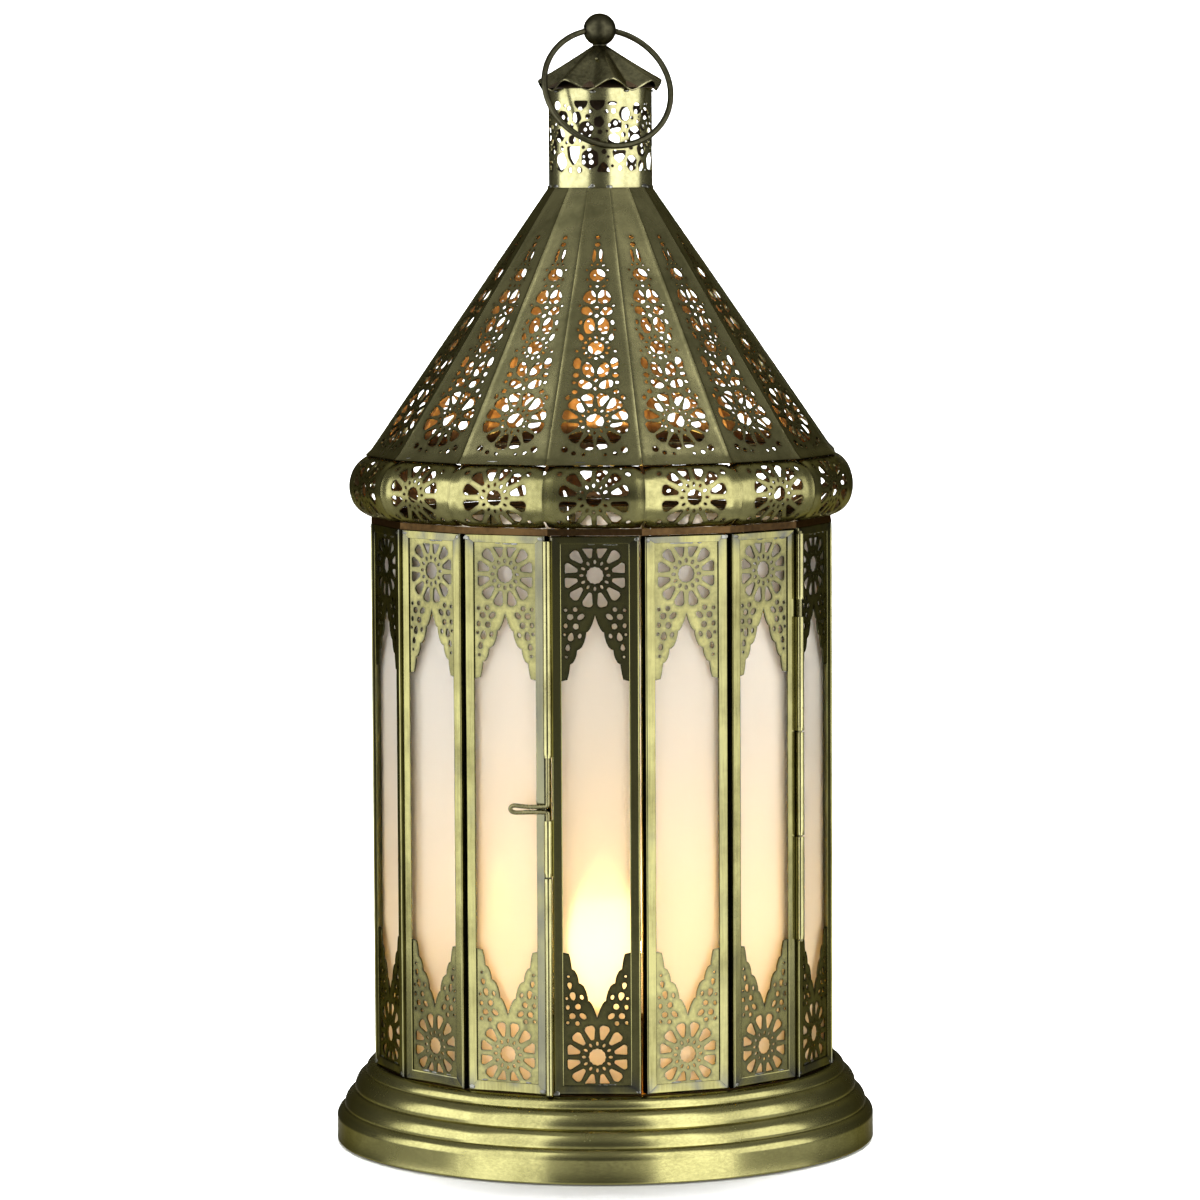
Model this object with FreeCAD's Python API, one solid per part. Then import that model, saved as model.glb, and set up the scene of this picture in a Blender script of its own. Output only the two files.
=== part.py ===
import FreeCAD, Part
import math
import os

# Moroccan metal lantern: sixteen-sided brass body with a three-panel hinged
# door, turned base, pierced cornice and roof, pleated cap, ball and carry ring.
# Millimetres, +Z up, origin at the centre of the underside.
# The door faces -Y; panel k is turned 22.5*k degrees about +Z from the front.

V = FreeCAD.Vector
Z = V(0, 0, 1)
O = V(0, 0, 0)

# ---------------------------------------------------------------- dimensions
SIDES = 16
STEP = 360.0 / SIDES
HALF = math.radians(STEP / 2)
R_CORNER = 109.0                      # outer corner radius of the body
APO = R_CORNER * math.cos(HALF)       # outer face plane of a panel
BODY_Z0 = 37.5                        # deck that the panels stand on
BODY_Z1 = 290.4                       # top of the fixed frames
DOOR_GAP = 0.5                        # door clearance at top and bottom
FRAME_HW = 19.8                       # half width of a panel frame
FRAME_DEPTH = 7.0
SHEET = 0.6                           # frame sheet thickness
FLANGE = 4.6                          # face width of a frame side
OPEN_Z0 = 42.3                        # glazed opening
OPEN_Z1 = 286.7
PLATE_T = 0.8                         # pierced plates
GLASS_T = 2.0
GLASS_D = 3.6                         # glass set back from the face
R_BASE = 126.0
DECK_R = 106.3
TUBE_RC = 110.4                       # hinge and latch tube centre radius
TUBE_R = 1.8
TUBE_BORE = 1.05
PIN_R = 1.0
LEAF_T = 0.5
SEAM_LATCH = -11.25
SEAM_HINGE = 56.25
ROOF_A0, ROOF_Z0 = 107.3, 322.85      # eave: apothem, height
ROOF_A1, ROOF_Z1 = 24.1, 445.0        # roof top
ROOF_T = 0.8
BAND_Z0, BAND_Z1 = 293.4, 321.6
BAND_A, BAND_BULGE = 105.4, 11.3
CHIM_R, CHIM_Z0, CHIM_Z1 = 24.6, 445.0, 490.5
CAP_PHASE = 13.0                      # first ridge of the pleated cap
BALL_R, BALL_Z = 7.65, 517.8
RING_R, RING_WIRE = 30.0, 1.45
RING_AXIS = 17.25                     # direction the carry ring hangs towards
RING_LEAN = 26.5                      # lean from the vertical at rest

os.makedirs("parts", exist_ok=True)


# ------------------------------------------------------------------- helpers
def poly(pts):
    return Part.makePolygon([V(*p) for p in pts] + [V(*pts[0])])


def prism(pts, vec):
    return Part.Face(poly(pts)).extrude(V(*vec))


def turned(shape, ang):
    s = shape.copy()
    s.rotate(O, Z, ang)
    return s


def ngon(r, z, n=SIDES, phase=0.5):
    return [(r * math.sin(2 * math.pi * (i + phase) / n),
             -r * math.cos(2 * math.pi * (i + phase) / n), z) for i in range(n)]


def ringplate(apo_in, apo_out, z0, z1, n=SIDES):
    c = math.cos(math.pi / n)
    a = prism(ngon(apo_out / c, z0, n), (0, 0, z1 - z0))
    b = prism(ngon(apo_in / c, z0 - 1, n), (0, 0, z1 - z0 + 2))
    return a.cut(b)


def cyl(r, z0, z1):
    return Part.makeCylinder(r, z1 - z0, V(0, 0, z0), Z)


def group(shapes):
    out = []
    for s in shapes:
        out += s.Solids
    return out[0] if len(out) == 1 else Part.makeCompound(out)


def save(name, shape):
    for s in shape.Solids:
        if not s.isValid() or s.Volume <= 0:
            raise ValueError("bad solid in " + name)
    shape.exportStep("parts/" + name + ".step")


def circle_pts(cx, cy, r, n=12):
    return [(cx + r * math.cos(2 * math.pi * i / n), cy + r * math.sin(2 * math.pi * i / n))
            for i in range(n)]


def rosette(cx, cy, rc, r0, r1, xmax, ymax, ymin):
    # centre hole and twelve wedge petals, clipped to the space there is
    out = [circle_pts(cx, cy, rc)]
    for i in range(12):
        a = math.radians(15 + 30 * i)
        ca, sa = math.cos(a), math.sin(a)
        w0, w1 = math.radians(5), math.radians(9.5)
        pts = []
        for r, w in ((r0, -w0), (r1, -w1), (r1, w1), (r0, w0)):
            x, y = r * math.cos(a + w), r * math.sin(a + w)
            f = 1.0
            if abs(x) > xmax:
                f = min(f, xmax / abs(x))
            if y > ymax:
                f = min(f, ymax / y)
            if y < ymin:
                f = min(f, ymin / y)
            pts.append((cx + x * f, cy + y * f))
        out.append(pts)
    return out


# plates are drawn flat in (x, z) and extruded inward along +Y at the front
def flat_plate(outline, holes, y, t):
    wires = [poly([(x, y, z) for x, z in outline])]
    for h in holes:
        wires.append(poly([(x, y, z) for x, z in h]))
    face = Part.Face(wires[0])
    for w in wires[1:]:
        face = face.cut(Part.Face(w))
    return face.extrude(V(0, t, 0))


# -------------------------------------------------------------------- frames
def frame_strips(z0, z1):
    y0 = -APO
    d = FRAME_DEPTH
    sec = [(-FRAME_HW, 0), (-FRAME_HW + FLANGE, 0), (-FRAME_HW + FLANGE, SHEET),
           (-FRAME_HW + SHEET, SHEET), (-FRAME_HW + SHEET, d - SHEET),
           (-FRAME_HW + 3.6, d - SHEET), (-FRAME_HW + 3.6, d), (-FRAME_HW, d)]
    side = prism([(x, y0 + q, z0) for x, q in sec], (0, 0, z1 - z0))
    lo, hi = OPEN_Z0, OPEN_Z1
    cut = prism([(-FRAME_HW - 1e-6, y0 - 1, z0), (-FRAME_HW + FLANGE, y0 - 1, lo),
                 (-FRAME_HW + FLANGE, y0 - 1, hi), (-FRAME_HW - 1e-6, y0 - 1, z1)], (0, d + 2, 0))
    left = side.common(cut)
    right = left.mirror(O, V(1, 0, 0))
    out = [left, right]
    for za, zb, sgn in ((z0, lo, 1), (z1, hi, -1)):
        h = abs(zb - za)
        back = h * 3.6 / FLANGE
        s2 = [(0, 0), (h, 0), (h, SHEET), (SHEET, SHEET), (SHEET, d - SHEET),
              (back, d - SHEET), (back, d), (0, d)]
        bar = prism([(-FRAME_HW, y0 + q, za + sgn * p) for p, q in s2], (2 * FRAME_HW, 0, 0))
        tr = prism([(-FRAME_HW, y0 - 1, za), (FRAME_HW, y0 - 1, za),
                    (FRAME_HW - FLANGE, y0 - 1, zb), (-FRAME_HW + FLANGE, y0 - 1, zb)],
                   (0, d + 2, 0))
        out.append(bar.common(tr))
    return group(out)


fixed_frame = frame_strips(BODY_Z0, BODY_Z1)
door_frame = frame_strips(BODY_Z0 + DOOR_GAP, BODY_Z1 - DOOR_GAP)


def glass(z0, z1):
    return Part.makeBox(2 * 18.9, GLASS_T, z1 - z0, V(-18.9, -APO + GLASS_D, z0))


fixed_glass = glass(BODY_Z0 + SHEET, BODY_Z1 - SHEET)
door_glass = glass(BODY_Z0 + DOOR_GAP + SHEET, BODY_Z1 - DOOR_GAP - SHEET)

# pierced arch plates: a rosette above a cusped arch, mirrored at the bottom
UP_C, LO_C = 272.6, 55.1
ARCH = [(0.0, -18.2), (3.5, -25.5), (7.0, -33.0), (10.2, -39.3), (12.3, -46.8), (15.4, -47.4),
        (18.0, -47.4)]


def arch_plate(zc, sgn, ztop):
    pts = [(x, zc + sgn * y) for x, y in ARCH]
    outline = [(-x, z) for x, z in reversed(pts[1:])] + pts + [(18.0, ztop), (-18.0, ztop)]
    holes = []
    for h in rosette(0, 0, 3.65, 8.3, 14.0, 13.0, 11.7, -13.6):
        holes.append([(x, zc + sgn * y) for x, y in h])
    for sx in (1, -1):
        for cx, cy, r in ((8.8, -14.6, 1.0), (11.1, -18.6, 1.2), (6.4, -18.3, 1.3),
                          (8.6, -22.9, 1.1), (10.9, -28.0, 1.2)):
            holes.append([(sx * x, zc + sgn * y) for x, y in circle_pts(cx, cy, r, 8)])
    return flat_plate(outline, holes, -APO + SHEET, PLATE_T)


upper_plate = arch_plate(UP_C, 1, 289.2)
lower_plate = arch_plate(LO_C, -1, 38.8)

up, low = [], []
for k in range(3, 16):
    save("frame_%02d" % k, turned(fixed_frame, k * STEP))
    save("glass_%02d" % k, turned(fixed_glass, k * STEP))
    up.append(turned(upper_plate, k * STEP))
    low.append(turned(lower_plate, k * STEP))
save("upper_arch_plates", group(up))
save("lower_arch_plates", group(low))
for k, side in enumerate(("left", "middle", "right")):
    save("door_frame_" + side, turned(door_frame, k * STEP))
    save("door_glass_" + side, turned(door_glass, k * STEP))
save("door_arch_plates", group([turned(p, k * STEP) for k in range(3)
                                for p in (upper_plate, lower_plate)]))


# ------------------------------------------------- hinge and latch on the seams
def on_seam(theta, r=TUBE_RC):
    a = math.radians(theta)
    return V(r * math.sin(a), -r * math.cos(a), 0)


def tube(theta, z0, z1, side, bore=TUBE_BORE):
    # a rolled tube with a flat leaf soldered to the frame beside the seam;
    # side -1: frame at the smaller angle, +1: frame at the larger angle
    c = on_seam(theta)
    s = Part.makeCylinder(TUBE_R, z1 - z0, c + V(0, 0, z0), Z)
    x0 = FRAME_HW if side < 0 else -FRAME_HW - LEAF_T
    leaf = Part.makeBox(LEAF_T, 4.6, z1 - z0, V(x0, -APO - 0.6, z0))
    leaf.rotate(O, Z, theta + side * STEP / 2)
    s = s.fuse(leaf).removeSplitter()
    return s.cut(Part.makeCylinder(bore, z1 - z0 + 2, c + V(0, 0, z0 - 1), Z))


save("hinge_knuckles_fixed", group([tube(SEAM_HINGE, 258.0, 288.0, 1),
                                    tube(SEAM_HINGE, 150.0, 197.2, 1)]))
save("hinge_knuckles_door", group([tube(SEAM_HINGE, 198.0, 250.0, -1),
                                   tube(SEAM_HINGE, 102.0, 149.2, -1)]))
pin = Part.makeCylinder(PIN_R, 188.0, on_seam(SEAM_HINGE) + V(0, 0, 101.0), Z)
save("hinge_pin", pin)

save("latch_guide_tubes", group([tube(SEAM_LATCH, 190.8, 288.0, 1),
                                 tube(SEAM_LATCH, 137.1, 162.4, 1)]))
save("latch_keeper", tube(SEAM_LATCH, 38.0, 136.3, -1))

# bolt wire with a hairpin handle bent out to the left
c = on_seam(SEAM_LATCH)
a = math.radians(SEAM_LATCH)
tdir = V(-math.cos(a), -math.sin(a), 0)
LEG_LO, LEG_HI, REACH = 166.0, 168.6, 17.0
rh = (LEG_HI - LEG_LO) / 2
lo1 = c + V(0, 0, 136.7)
lo2 = c + V(0, 0, LEG_LO)
hi2 = c + V(0, 0, LEG_HI)
hi1 = c + V(0, 0, 262.0)
far_lo = lo2 + tdir * REACH
far_hi = hi2 + tdir * REACH
tip = (far_lo + far_hi) * 0.5 + tdir * rh
bolt = Part.makeCylinder(PIN_R, LEG_LO - 136.7, lo1, Z)
bolt = bolt.fuse(Part.makeCylinder(PIN_R, 262.0 - LEG_HI, hi2, Z))
for q in (lo2, hi2):
    bolt = bolt.fuse(Part.makeCylinder(PIN_R, REACH, q, tdir))
    bolt = bolt.fuse(Part.makeSphere(PIN_R, q))
bend_c = (far_lo + far_hi) * 0.5
bend = Part.Wire([Part.Arc(far_lo, tip, far_hi).toShape()])
prof = Part.Wire([Part.Circle(far_lo, tdir, PIN_R).toShape()])
bolt = bolt.fuse(bend.makePipeShell([prof], True, True))
save("latch_bolt", bolt)

# ---------------------------------------------------------------------- base
def arc(p, m, q):
    return Part.Arc(V(p[0], 0, p[1]), V(m[0], 0, m[1]), V(q[0], 0, q[1])).toShape()


def seg(p, q):
    return Part.LineSegment(V(p[0], 0, p[1]), V(q[0], 0, q[1])).toShape()


outer = [("s", (98.0, 36.5), (106.6, 36.5)),
         ("s", (106.6, 36.5), (107.4, 37.05)),
         ("a", (107.4, 37.05), (108.3, 37.35), (109.3, 37.1)),
         ("a", (109.3, 37.1), (111.7, 35.4), (112.5, 32.5)),
         ("a", (112.5, 32.5), (116.46, 29.17), (117.5, 24.1)),
         ("a", (117.5, 24.1), (121.26, 21.07), (122.5, 16.4)),
         ("a", (122.5, 16.4), (125.35, 14.1), (R_BASE, 10.5)),
         ("s", (R_BASE, 10.5), (R_BASE, 1.4)),
         ("a", (R_BASE, 1.4), (125.75, 0.8), (125.1, 0.5))]
dx, dz = -0.9, -0.7
inner = [("s", (125.1, 0.5), (125.1, 9.8)),
         ("a", (125.1, 9.8), (124.45, 13.4), (121.6, 15.7)),
         ("a", (121.6, 15.7), (120.36, 20.37), (116.6, 23.4)),
         ("a", (116.6, 23.4), (115.56, 28.47), (111.6, 31.8)),
         ("s", (111.6, 31.8), (109.6, 35.5)),
         ("s", (109.6, 35.5), (98.0, 35.5)),
         ("s", (98.0, 35.5), (98.0, 36.5))]
edges = []
for item in outer + inner:
    edges.append(seg(item[1], item[2]) if item[0] == "s" else arc(item[1], item[2], item[3]))
shell = Part.Face(Part.Wire(edges)).revolve(O, Z, 360)
INLET_Z = 7.0
shell = shell.cut(Part.makeCylinder(4.0, 8, V(0, 120, INLET_Z), V(0, 1, 0)))
save("base_shell", group([shell]))
save("base_bottom_plate", cyl(124.9, 1.6, 2.6))
save("base_felt_pad", cyl(121.0, 0.0, 1.6))

gr = Part.makeCylinder(3.9, 4.8, V(0, 121.0, INLET_Z), V(0, 1, 0))
gr = gr.fuse(Part.makeCylinder(5.2, 1.8, V(0, 122.9, INLET_Z), V(0, 1, 0)).common(
    cyl(124.9, 2.7, 14.0)))
gr = gr.cut(Part.makeCylinder(2.9, 8, V(0, 119.5, INLET_Z), V(0, 1, 0)))
save("cable_grommet", gr.removeSplitter())

# ------------------------------------------------------- floor and lampholder
save("floor_plate", cyl(DECK_R, 36.5, 37.5).cut(cyl(5.1, 30, 40)))
save("lampholder_nipple", cyl(5.0, 27.0, 44.9).cut(cyl(3.6, 20, 60)))


def hexnut(af, r, z0, z1):
    n = prism(ngon(af / 2 / math.cos(math.pi / 6), z0, 6, 0.0), (0, 0, z1 - z0))
    return n.cut(cyl(r, z0 - 1, z1 + 1))


save("hex_nuts", group([hexnut(14.0, 5.02, 37.5, 40.5), hexnut(14.0, 5.02, 33.5, 36.5),
                        hexnut(8.0, 2.02, 504.5, 507.0)]))
body = cyl(13.8, 40.5, 60.0).cut(cyl(8.6, 45.0, 61.0)).cut(cyl(5.02, 40, 46))
save("lampholder_body", body)
save("lampholder_ring", cyl(16.4, 53.0, 57.5).cut(cyl(13.85, 50, 60)))
save("bulb_cap", cyl(8.0, 45.1, 61.0))
bz = [(0.0, 61.0), (11.5, 61.0), (12.2, 64.0), (14.2, 71.0), (16.8, 82.0), (17.5, 90.0),
      (16.9, 98.0), (14.6, 108.0), (10.6, 118.0), (6.6, 126.0), (3.8, 131.0), (1.6, 133.2),
      (0.0, 133.6)]
bs = Part.BSplineCurve()
bs.interpolate([V(r, 0, z) for r, z in bz[1:]])
bw = Part.Wire([Part.LineSegment(V(0, 0, 61), V(11.5, 0, 61)).toShape(), bs.toShape(),
                Part.LineSegment(V(0, 0, 133.6), V(0, 0, 61)).toShape()])
save("bulb_glass", group([Part.Face(bw).revolve(O, Z, 360)]))

# ------------------------------------------------------- ring, cornice, eaves
top = ringplate(95.0, 106.4, BODY_Z1, BODY_Z1 + 1.0)
top = top.fuse(ringplate(105.4, 106.4, BODY_Z1 + 0.5, BAND_Z0)).removeSplitter()
save("top_ring", group([top]))

NB = 8
zc = (BAND_Z0 + BAND_Z1) / 2
hz = (BAND_Z1 - BAND_Z0) / 2
op, ip = [], []
for i in range(NB + 1):
    t = -math.pi / 2 + math.pi * i / NB
    op.append((BAND_A + BAND_BULGE * math.cos(t), zc + hz * math.sin(t)))
    ip.append((BAND_A - 0.02 + (BAND_BULGE - 0.8) * math.cos(t) - 0.8 * (1 - math.cos(t)),
               zc + hz * math.sin(t)))
sec = op + list(reversed(ip))
lobe = prism([(-30, -q, z) for q, z in sec], (60, 0, 0))
w = 125 * math.tan(HALF)
wedge = prism([(-w + 0.05, -125, 280), (w - 0.05, -125, 280), (0.0, -0.1, 280)], (0, 0, 60))
lobe = lobe.common(wedge)
for h in rosette(0, 0, 3.4, 8.0, 14.4, 14.4, 12.4, -12.4):
    lobe = lobe.cut(prism([(x, -125, zc + z) for x, z in h], (0, 25, 0)))
save("cornice_band", group([turned(lobe, k * STEP) for k in range(SIDES)]))
save("eave_ring", ringplate(99.0, 106.8, BAND_Z1, BAND_Z1 + 0.8))

# ---------------------------------------------------------------------- roof
run, rise = ROOF_A0 - ROOF_A1, ROOF_Z1 - ROOF_Z0
SLOPE = math.hypot(run, rise)
ux, uz = run / SLOPE, rise / SLOPE           # up the slope: inward and up
tanh = math.tan(HALF)
seam = 0.16                                  # open seam that the solder fills


def roof_pt(x, s, d=0.0):
    return (x, -(ROOF_A0 - s * ux) + d * uz, ROOF_Z0 + s * uz - d * ux)


hw0, hw1 = ROOF_A0 * tanh - seam, ROOF_A1 * tanh - seam
face = Part.Face(poly([roof_pt(-hw0, 0), roof_pt(hw0, 0), roof_pt(hw1, SLOPE),
                       roof_pt(-hw1, SLOPE)]))
holes = rosette(0, 22.1, 3.65, 8.0, 14.3, 14.3, 14.3, -14.3)
holes.append(circle_pts(0, 61.0, 3.5))
holes.append(circle_pts(0, 100.4, 3.3))
for sx in (1, -1):
    for cx, cy, wx, wy in ((3.4, 49.1, 1.7, 3.6), (7.7, 52.6, 1.6, 2.8), (5.1, 41.7, 2.2, 1.6),
                           (8.3, 37.2, 1.0, 1.0), (3.3, 72.8, 1.7, 3.5), (3.5, 87.7, 1.8, 3.5),
                           (2.0, 110.6, 0.6, 3.0), (4.6, 80.5, 1.6, 1.5), (12.9, 7.5, 1.3, 1.3)):
        holes.append([(sx * cx + wx * math.cos(q), cy + wy * math.sin(q))
                      for q in [2 * math.pi * j / 8 for j in range(8)]])
for h in holes:
    face = face.cut(Part.Face(poly([roof_pt(x, s) for x, s in h])))
facet = face.extrude(V(0, ROOF_T * uz, -ROOF_T * ux))
save("roof_panels", group([turned(facet, k * STEP) for k in range(SIDES)]))

# ------------------------------------------------------------------- chimney
NC = 24
cc = math.cos(math.pi / NC)
chim = prism(ngon(CHIM_R, CHIM_Z0, NC), (0, 0, CHIM_Z1 - CHIM_Z0))
chim = chim.cut(prism(ngon(CHIM_R - 0.8, CHIM_Z0 - 1, NC), (0, 0, 60)))
tools = []
for row, z in enumerate((455.2, 463.0, 470.8, 478.6)):
    for i in range(12):
        th = 30.0 * i + 15.0 * (row % 2)
        p = prism([(x, -30, y) for x, y in circle_pts(0, z, 2.6, 6)], (0, 12, 0))
        tools.append(turned(p, th))
chim = chim.cut(Part.makeCompound(tools))
save("chimney_collar", group([chim]))

# ----------------------------------------------------------------------- cap
def cap_solid():
    top, rim = [], []
    for i in range(16):
        th = math.radians(CAP_PHASE + 22.5 * i)
        r, z = (29.3, 495.0) if i % 2 == 0 else (26.5, 489.8)
        top.append((3.5 * math.sin(th), -3.5 * math.cos(th), 510.4))
        rim.append((r * math.sin(th), -r * math.cos(th), z))
    dn = -0.9
    tris = []
    for i in range(16):
        j = (i + 1) % 16
        a0, a1, b0, b1 = top[i], top[j], rim[i], rim[j]
        low = lambda p: (p[0], p[1], p[2] + dn)
        if i % 2 == 0:
            up_t = [(a0, b0, a1), (a1, b0, b1)]
        else:
            up_t = [(a0, b0, b1), (a0, b1, a1)]
        tris += up_t
        tris += [tuple(low(p) for p in reversed(t)) for t in up_t]
        tris += [(b0, low(b0), b1), (b1, low(b0), low(b1))]
        tris += [(a0, a1, low(a0)), (a1, low(a1), low(a0))]
    faces = [Part.Face(poly(list(t))) for t in tris]
    sh = Part.makeShell(faces)
    sh.sewShape()
    so = Part.Solid(sh)
    if so.Volume < 0:
        so.reverse()
    return so


save("cap_hood", cap_solid())

# ---------------------------------------------------- ball, stud, carry ring
ra = math.radians(RING_AXIS)
n = V(math.sin(ra), -math.cos(ra), 0)
t = V(math.cos(ra), math.sin(ra), 0)
BC = V(0, 0, BALL_Z)
ball = Part.makeSphere(BALL_R, BC).fuse(cyl(3.35, 508.6, 512.5)).fuse(cyl(2.0, 500.5, 512.0))
ball = ball.cut(Part.makeCylinder(2.65, 20, BC - t * 10, t))
save("finial_ball", group([ball]))

lean = math.radians(RING_LEAN)
down = V(0, 0, -math.cos(lean)) + n * math.sin(lean)
ring = Part.makeTorus(RING_R, RING_WIRE, BC + down * RING_R, down.cross(t))
save("carry_ring", ring)
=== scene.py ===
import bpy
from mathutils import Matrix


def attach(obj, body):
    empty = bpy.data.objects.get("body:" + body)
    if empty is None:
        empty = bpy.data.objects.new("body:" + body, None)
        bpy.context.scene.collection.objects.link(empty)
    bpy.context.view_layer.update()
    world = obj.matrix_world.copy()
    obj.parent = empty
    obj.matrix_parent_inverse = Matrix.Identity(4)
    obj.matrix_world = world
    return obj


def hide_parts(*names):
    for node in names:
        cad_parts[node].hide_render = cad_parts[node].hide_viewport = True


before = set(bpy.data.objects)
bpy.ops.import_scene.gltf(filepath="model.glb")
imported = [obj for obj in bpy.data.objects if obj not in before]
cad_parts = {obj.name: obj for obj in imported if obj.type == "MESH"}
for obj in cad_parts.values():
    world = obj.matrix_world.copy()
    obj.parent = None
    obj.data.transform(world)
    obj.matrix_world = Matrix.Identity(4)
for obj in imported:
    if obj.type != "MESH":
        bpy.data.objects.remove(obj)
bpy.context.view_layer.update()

import math
import bpy
import bmesh
import numpy as np
from mathutils import Vector, Matrix, noise
from mathutils.geometry import delaunay_2d_cdt

MM = 0.001
SIDES = 16
STEP = 22.5
HALF = math.radians(11.25)
TANH = math.tan(HALF)
APO = 109.0 * math.cos(HALF)
ZB, ZT = 37.5, 290.4
OPEN0, OPEN1 = 42.3, 286.7
scene = bpy.context.scene


# ======================================================================
# mesh helpers (all lengths in millimetres until make())
# ======================================================================
def make(name, verts, faces, smooth=35.0, attr=None):
    me = bpy.data.meshes.new(name)
    v = np.asarray(verts, np.float64) * MM
    me.vertices.add(len(v))
    me.vertices.foreach_set("co", v.astype(np.float32).ravel())
    if isinstance(faces, tuple):
        idx, sizes = faces
    else:
        idx = np.fromiter((i for f in faces for i in f), np.int32)
        sizes = np.fromiter((len(f) for f in faces), np.int32)
    me.loops.add(len(idx))
    me.loops.foreach_set("vertex_index", idx.astype(np.int32))
    me.polygons.add(len(sizes))
    starts = np.concatenate([[0], np.cumsum(sizes)[:-1]]).astype(np.int32)
    me.polygons.foreach_set("loop_start", starts)
    me.polygons.foreach_set("loop_total", sizes.astype(np.int32))
    me.update(calc_edges=True)
    me.validate(clean_customdata=False)
    me.polygons.foreach_set("use_smooth", np.ones(len(me.polygons), bool))
    me.set_sharp_from_angle(angle=math.radians(smooth))
    if attr is not None and len(attr) == len(me.vertices):
        a = me.attributes.new("rim", "FLOAT", "POINT")
        a.data.foreach_set("value", np.asarray(attr, np.float32))
    ob = bpy.data.objects.new(name, me)
    scene.collection.objects.link(ob)
    return ob


def pack_faces(tris=None, quads=None):
    idx, sizes = [], []
    if tris is not None and len(tris):
        idx.append(np.asarray(tris, np.int64).ravel())
        sizes.append(np.full(len(tris), 3))
    if quads is not None and len(quads):
        idx.append(np.asarray(quads, np.int64).ravel())
        sizes.append(np.full(len(quads), 4))
    return np.concatenate(idx), np.concatenate(sizes)


def rot_z(P, deg):
    a = math.radians(deg)
    c, s = math.cos(a), math.sin(a)
    out = np.array(P, float)
    out[:, 0], out[:, 1] = P[:, 0] * c - P[:, 1] * s, P[:, 0] * s + P[:, 1] * c
    return out


def vnoise(P, scale, seed=0.0):
    return np.array([noise.noise(Vector((p[0] * scale + seed, p[1] * scale + 3.1 * seed,
                                         (p[2] if len(p) > 2 else 0.0) * scale - seed))) for p in P])


def inside(P, loop):
    x, y = P[:, 0], P[:, 1]
    c = np.zeros(len(P), bool)
    x0, y0 = loop[-1]
    for x1, y1 in loop:
        if y1 != y0:
            m = (y1 > y) != (y0 > y)
            c ^= m & (x < (x0 - x1) * (y - y1) / (y0 - y1) + x1)
        x0, y0 = x1, y1
    return c


def seg_dist(P, loops):
    # distance from every point to the nearest loop edge
    best = np.full(len(P), 1e9)
    for lp in loops:
        a = np.asarray(lp, float)
        b = np.roll(a, -1, 0)
        lo, hi = a.min(0) - 3.0, a.max(0) + 3.0
        near = np.where((P > lo).all(1) & (P < hi).all(1))[0]
        if not len(near):
            continue
        Q = P[near]
        ab = b - a
        L = (ab ** 2).sum(1) + 1e-12
        t = ((Q[:, None, :] - a[None]) * ab[None]).sum(2) / L[None]
        t = np.clip(t, 0, 1)
        d = np.sqrt((((a[None] + t[..., None] * ab[None]) - Q[:, None, :]) ** 2).sum(2)).min(1)
        best[near] = np.minimum(best[near], d)
    return best


def area2(lp):
    a = np.asarray(lp)
    b = np.roll(a, -1, 0)
    return (a[:, 0] * b[:, 1] - b[:, 0] * a[:, 1]).sum()


def offset_loop(lp, d):
    # positive d moves a loop outward from the area that it encloses
    a = np.asarray(lp, float)
    if area2(a) < 0:
        a = a[::-1]
    t = np.roll(a, -1, 0) - np.roll(a, 1, 0)
    t /= np.linalg.norm(t, axis=1)[:, None] + 1e-9
    return a + np.stack([t[:, 1], -t[:, 0]], 1) * d


def densify(lp, step):
    a = np.asarray(lp, float)
    out = []
    for i in range(len(a)):
        p, q = a[i], a[(i + 1) % len(a)]
        n = max(1, int(math.ceil(np.linalg.norm(q - p) / step)))
        for j in range(n):
            out.append(p + (q - p) * j / n)
    return np.array(out)


def rounded(pts, r, n=4):
    # fillet every corner of a polygon; r is one radius or a list
    a = np.asarray(pts, float)
    m = len(a)
    out = []
    for i in range(m):
        p0, p, p1 = a[i - 1], a[i], a[(i + 1) % m]
        ri = r[i] if isinstance(r, (list, tuple)) else r
        d0, d1 = np.linalg.norm(p0 - p), np.linalg.norm(p1 - p)
        k = min(ri, 0.48 * d0, 0.48 * d1)
        s, e = p + (p0 - p) / d0 * k, p + (p1 - p) / d1 * k
        for j in range(n + 1):
            t = j / n
            out.append((1 - t) ** 2 * s + 2 * t * (1 - t) * p + t ** 2 * e)
    return np.array(out)


def circ(cx, cy, r, n=None, wob=0.0, lobes=0):
    n = n or max(10, int(r * 7))
    t = np.arange(n) * 2 * math.pi / n
    rr = r * (1 + wob * np.cos(lobes * t)) if lobes else np.full(n, r)
    return np.stack([cx + rr * np.cos(t), cy + rr * np.sin(t)], 1)


def oval(cx, cy, a, b, ang=0.0, n=16, tear=0.0):
    t = np.arange(n) * 2 * math.pi / n
    x, y = a * np.cos(t), b * np.sin(t)
    x = x * (1 - tear * np.sin(t))
    c, s = math.cos(math.radians(ang)), math.sin(math.radians(ang))
    return np.stack([cx + x * c - y * s, cy + x * s + y * c], 1)


def wedge_petal(cx, cy, ang, r0, r1, w0, w1, rc, xmax=99.0, ymax=99.0, ymin=-99.0):
    # a rosette petal: a wedge with rounded corners, clipped by a rectangle
    pts = []
    c, s = math.cos(math.radians(ang)), math.sin(math.radians(ang))
    raw = [(r0, -w0), (r1 * 0.90, -w1), (r1, -w1 * 0.62), (r1, w1 * 0.62), (r1 * 0.90, w1), (r0, w0)]
    for u, v in raw:
        x, y = u * c - v * s, u * s + v * c
        f = 1.0
        if abs(x) > xmax:
            f = min(f, xmax / abs(x))
        if y > ymax:
            f = min(f, ymax / y)
        if y < ymin:
            f = min(f, ymin / y)
        pts.append((cx + x * f, cy + y * f))
    return rounded(pts, rc, 3)


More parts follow.
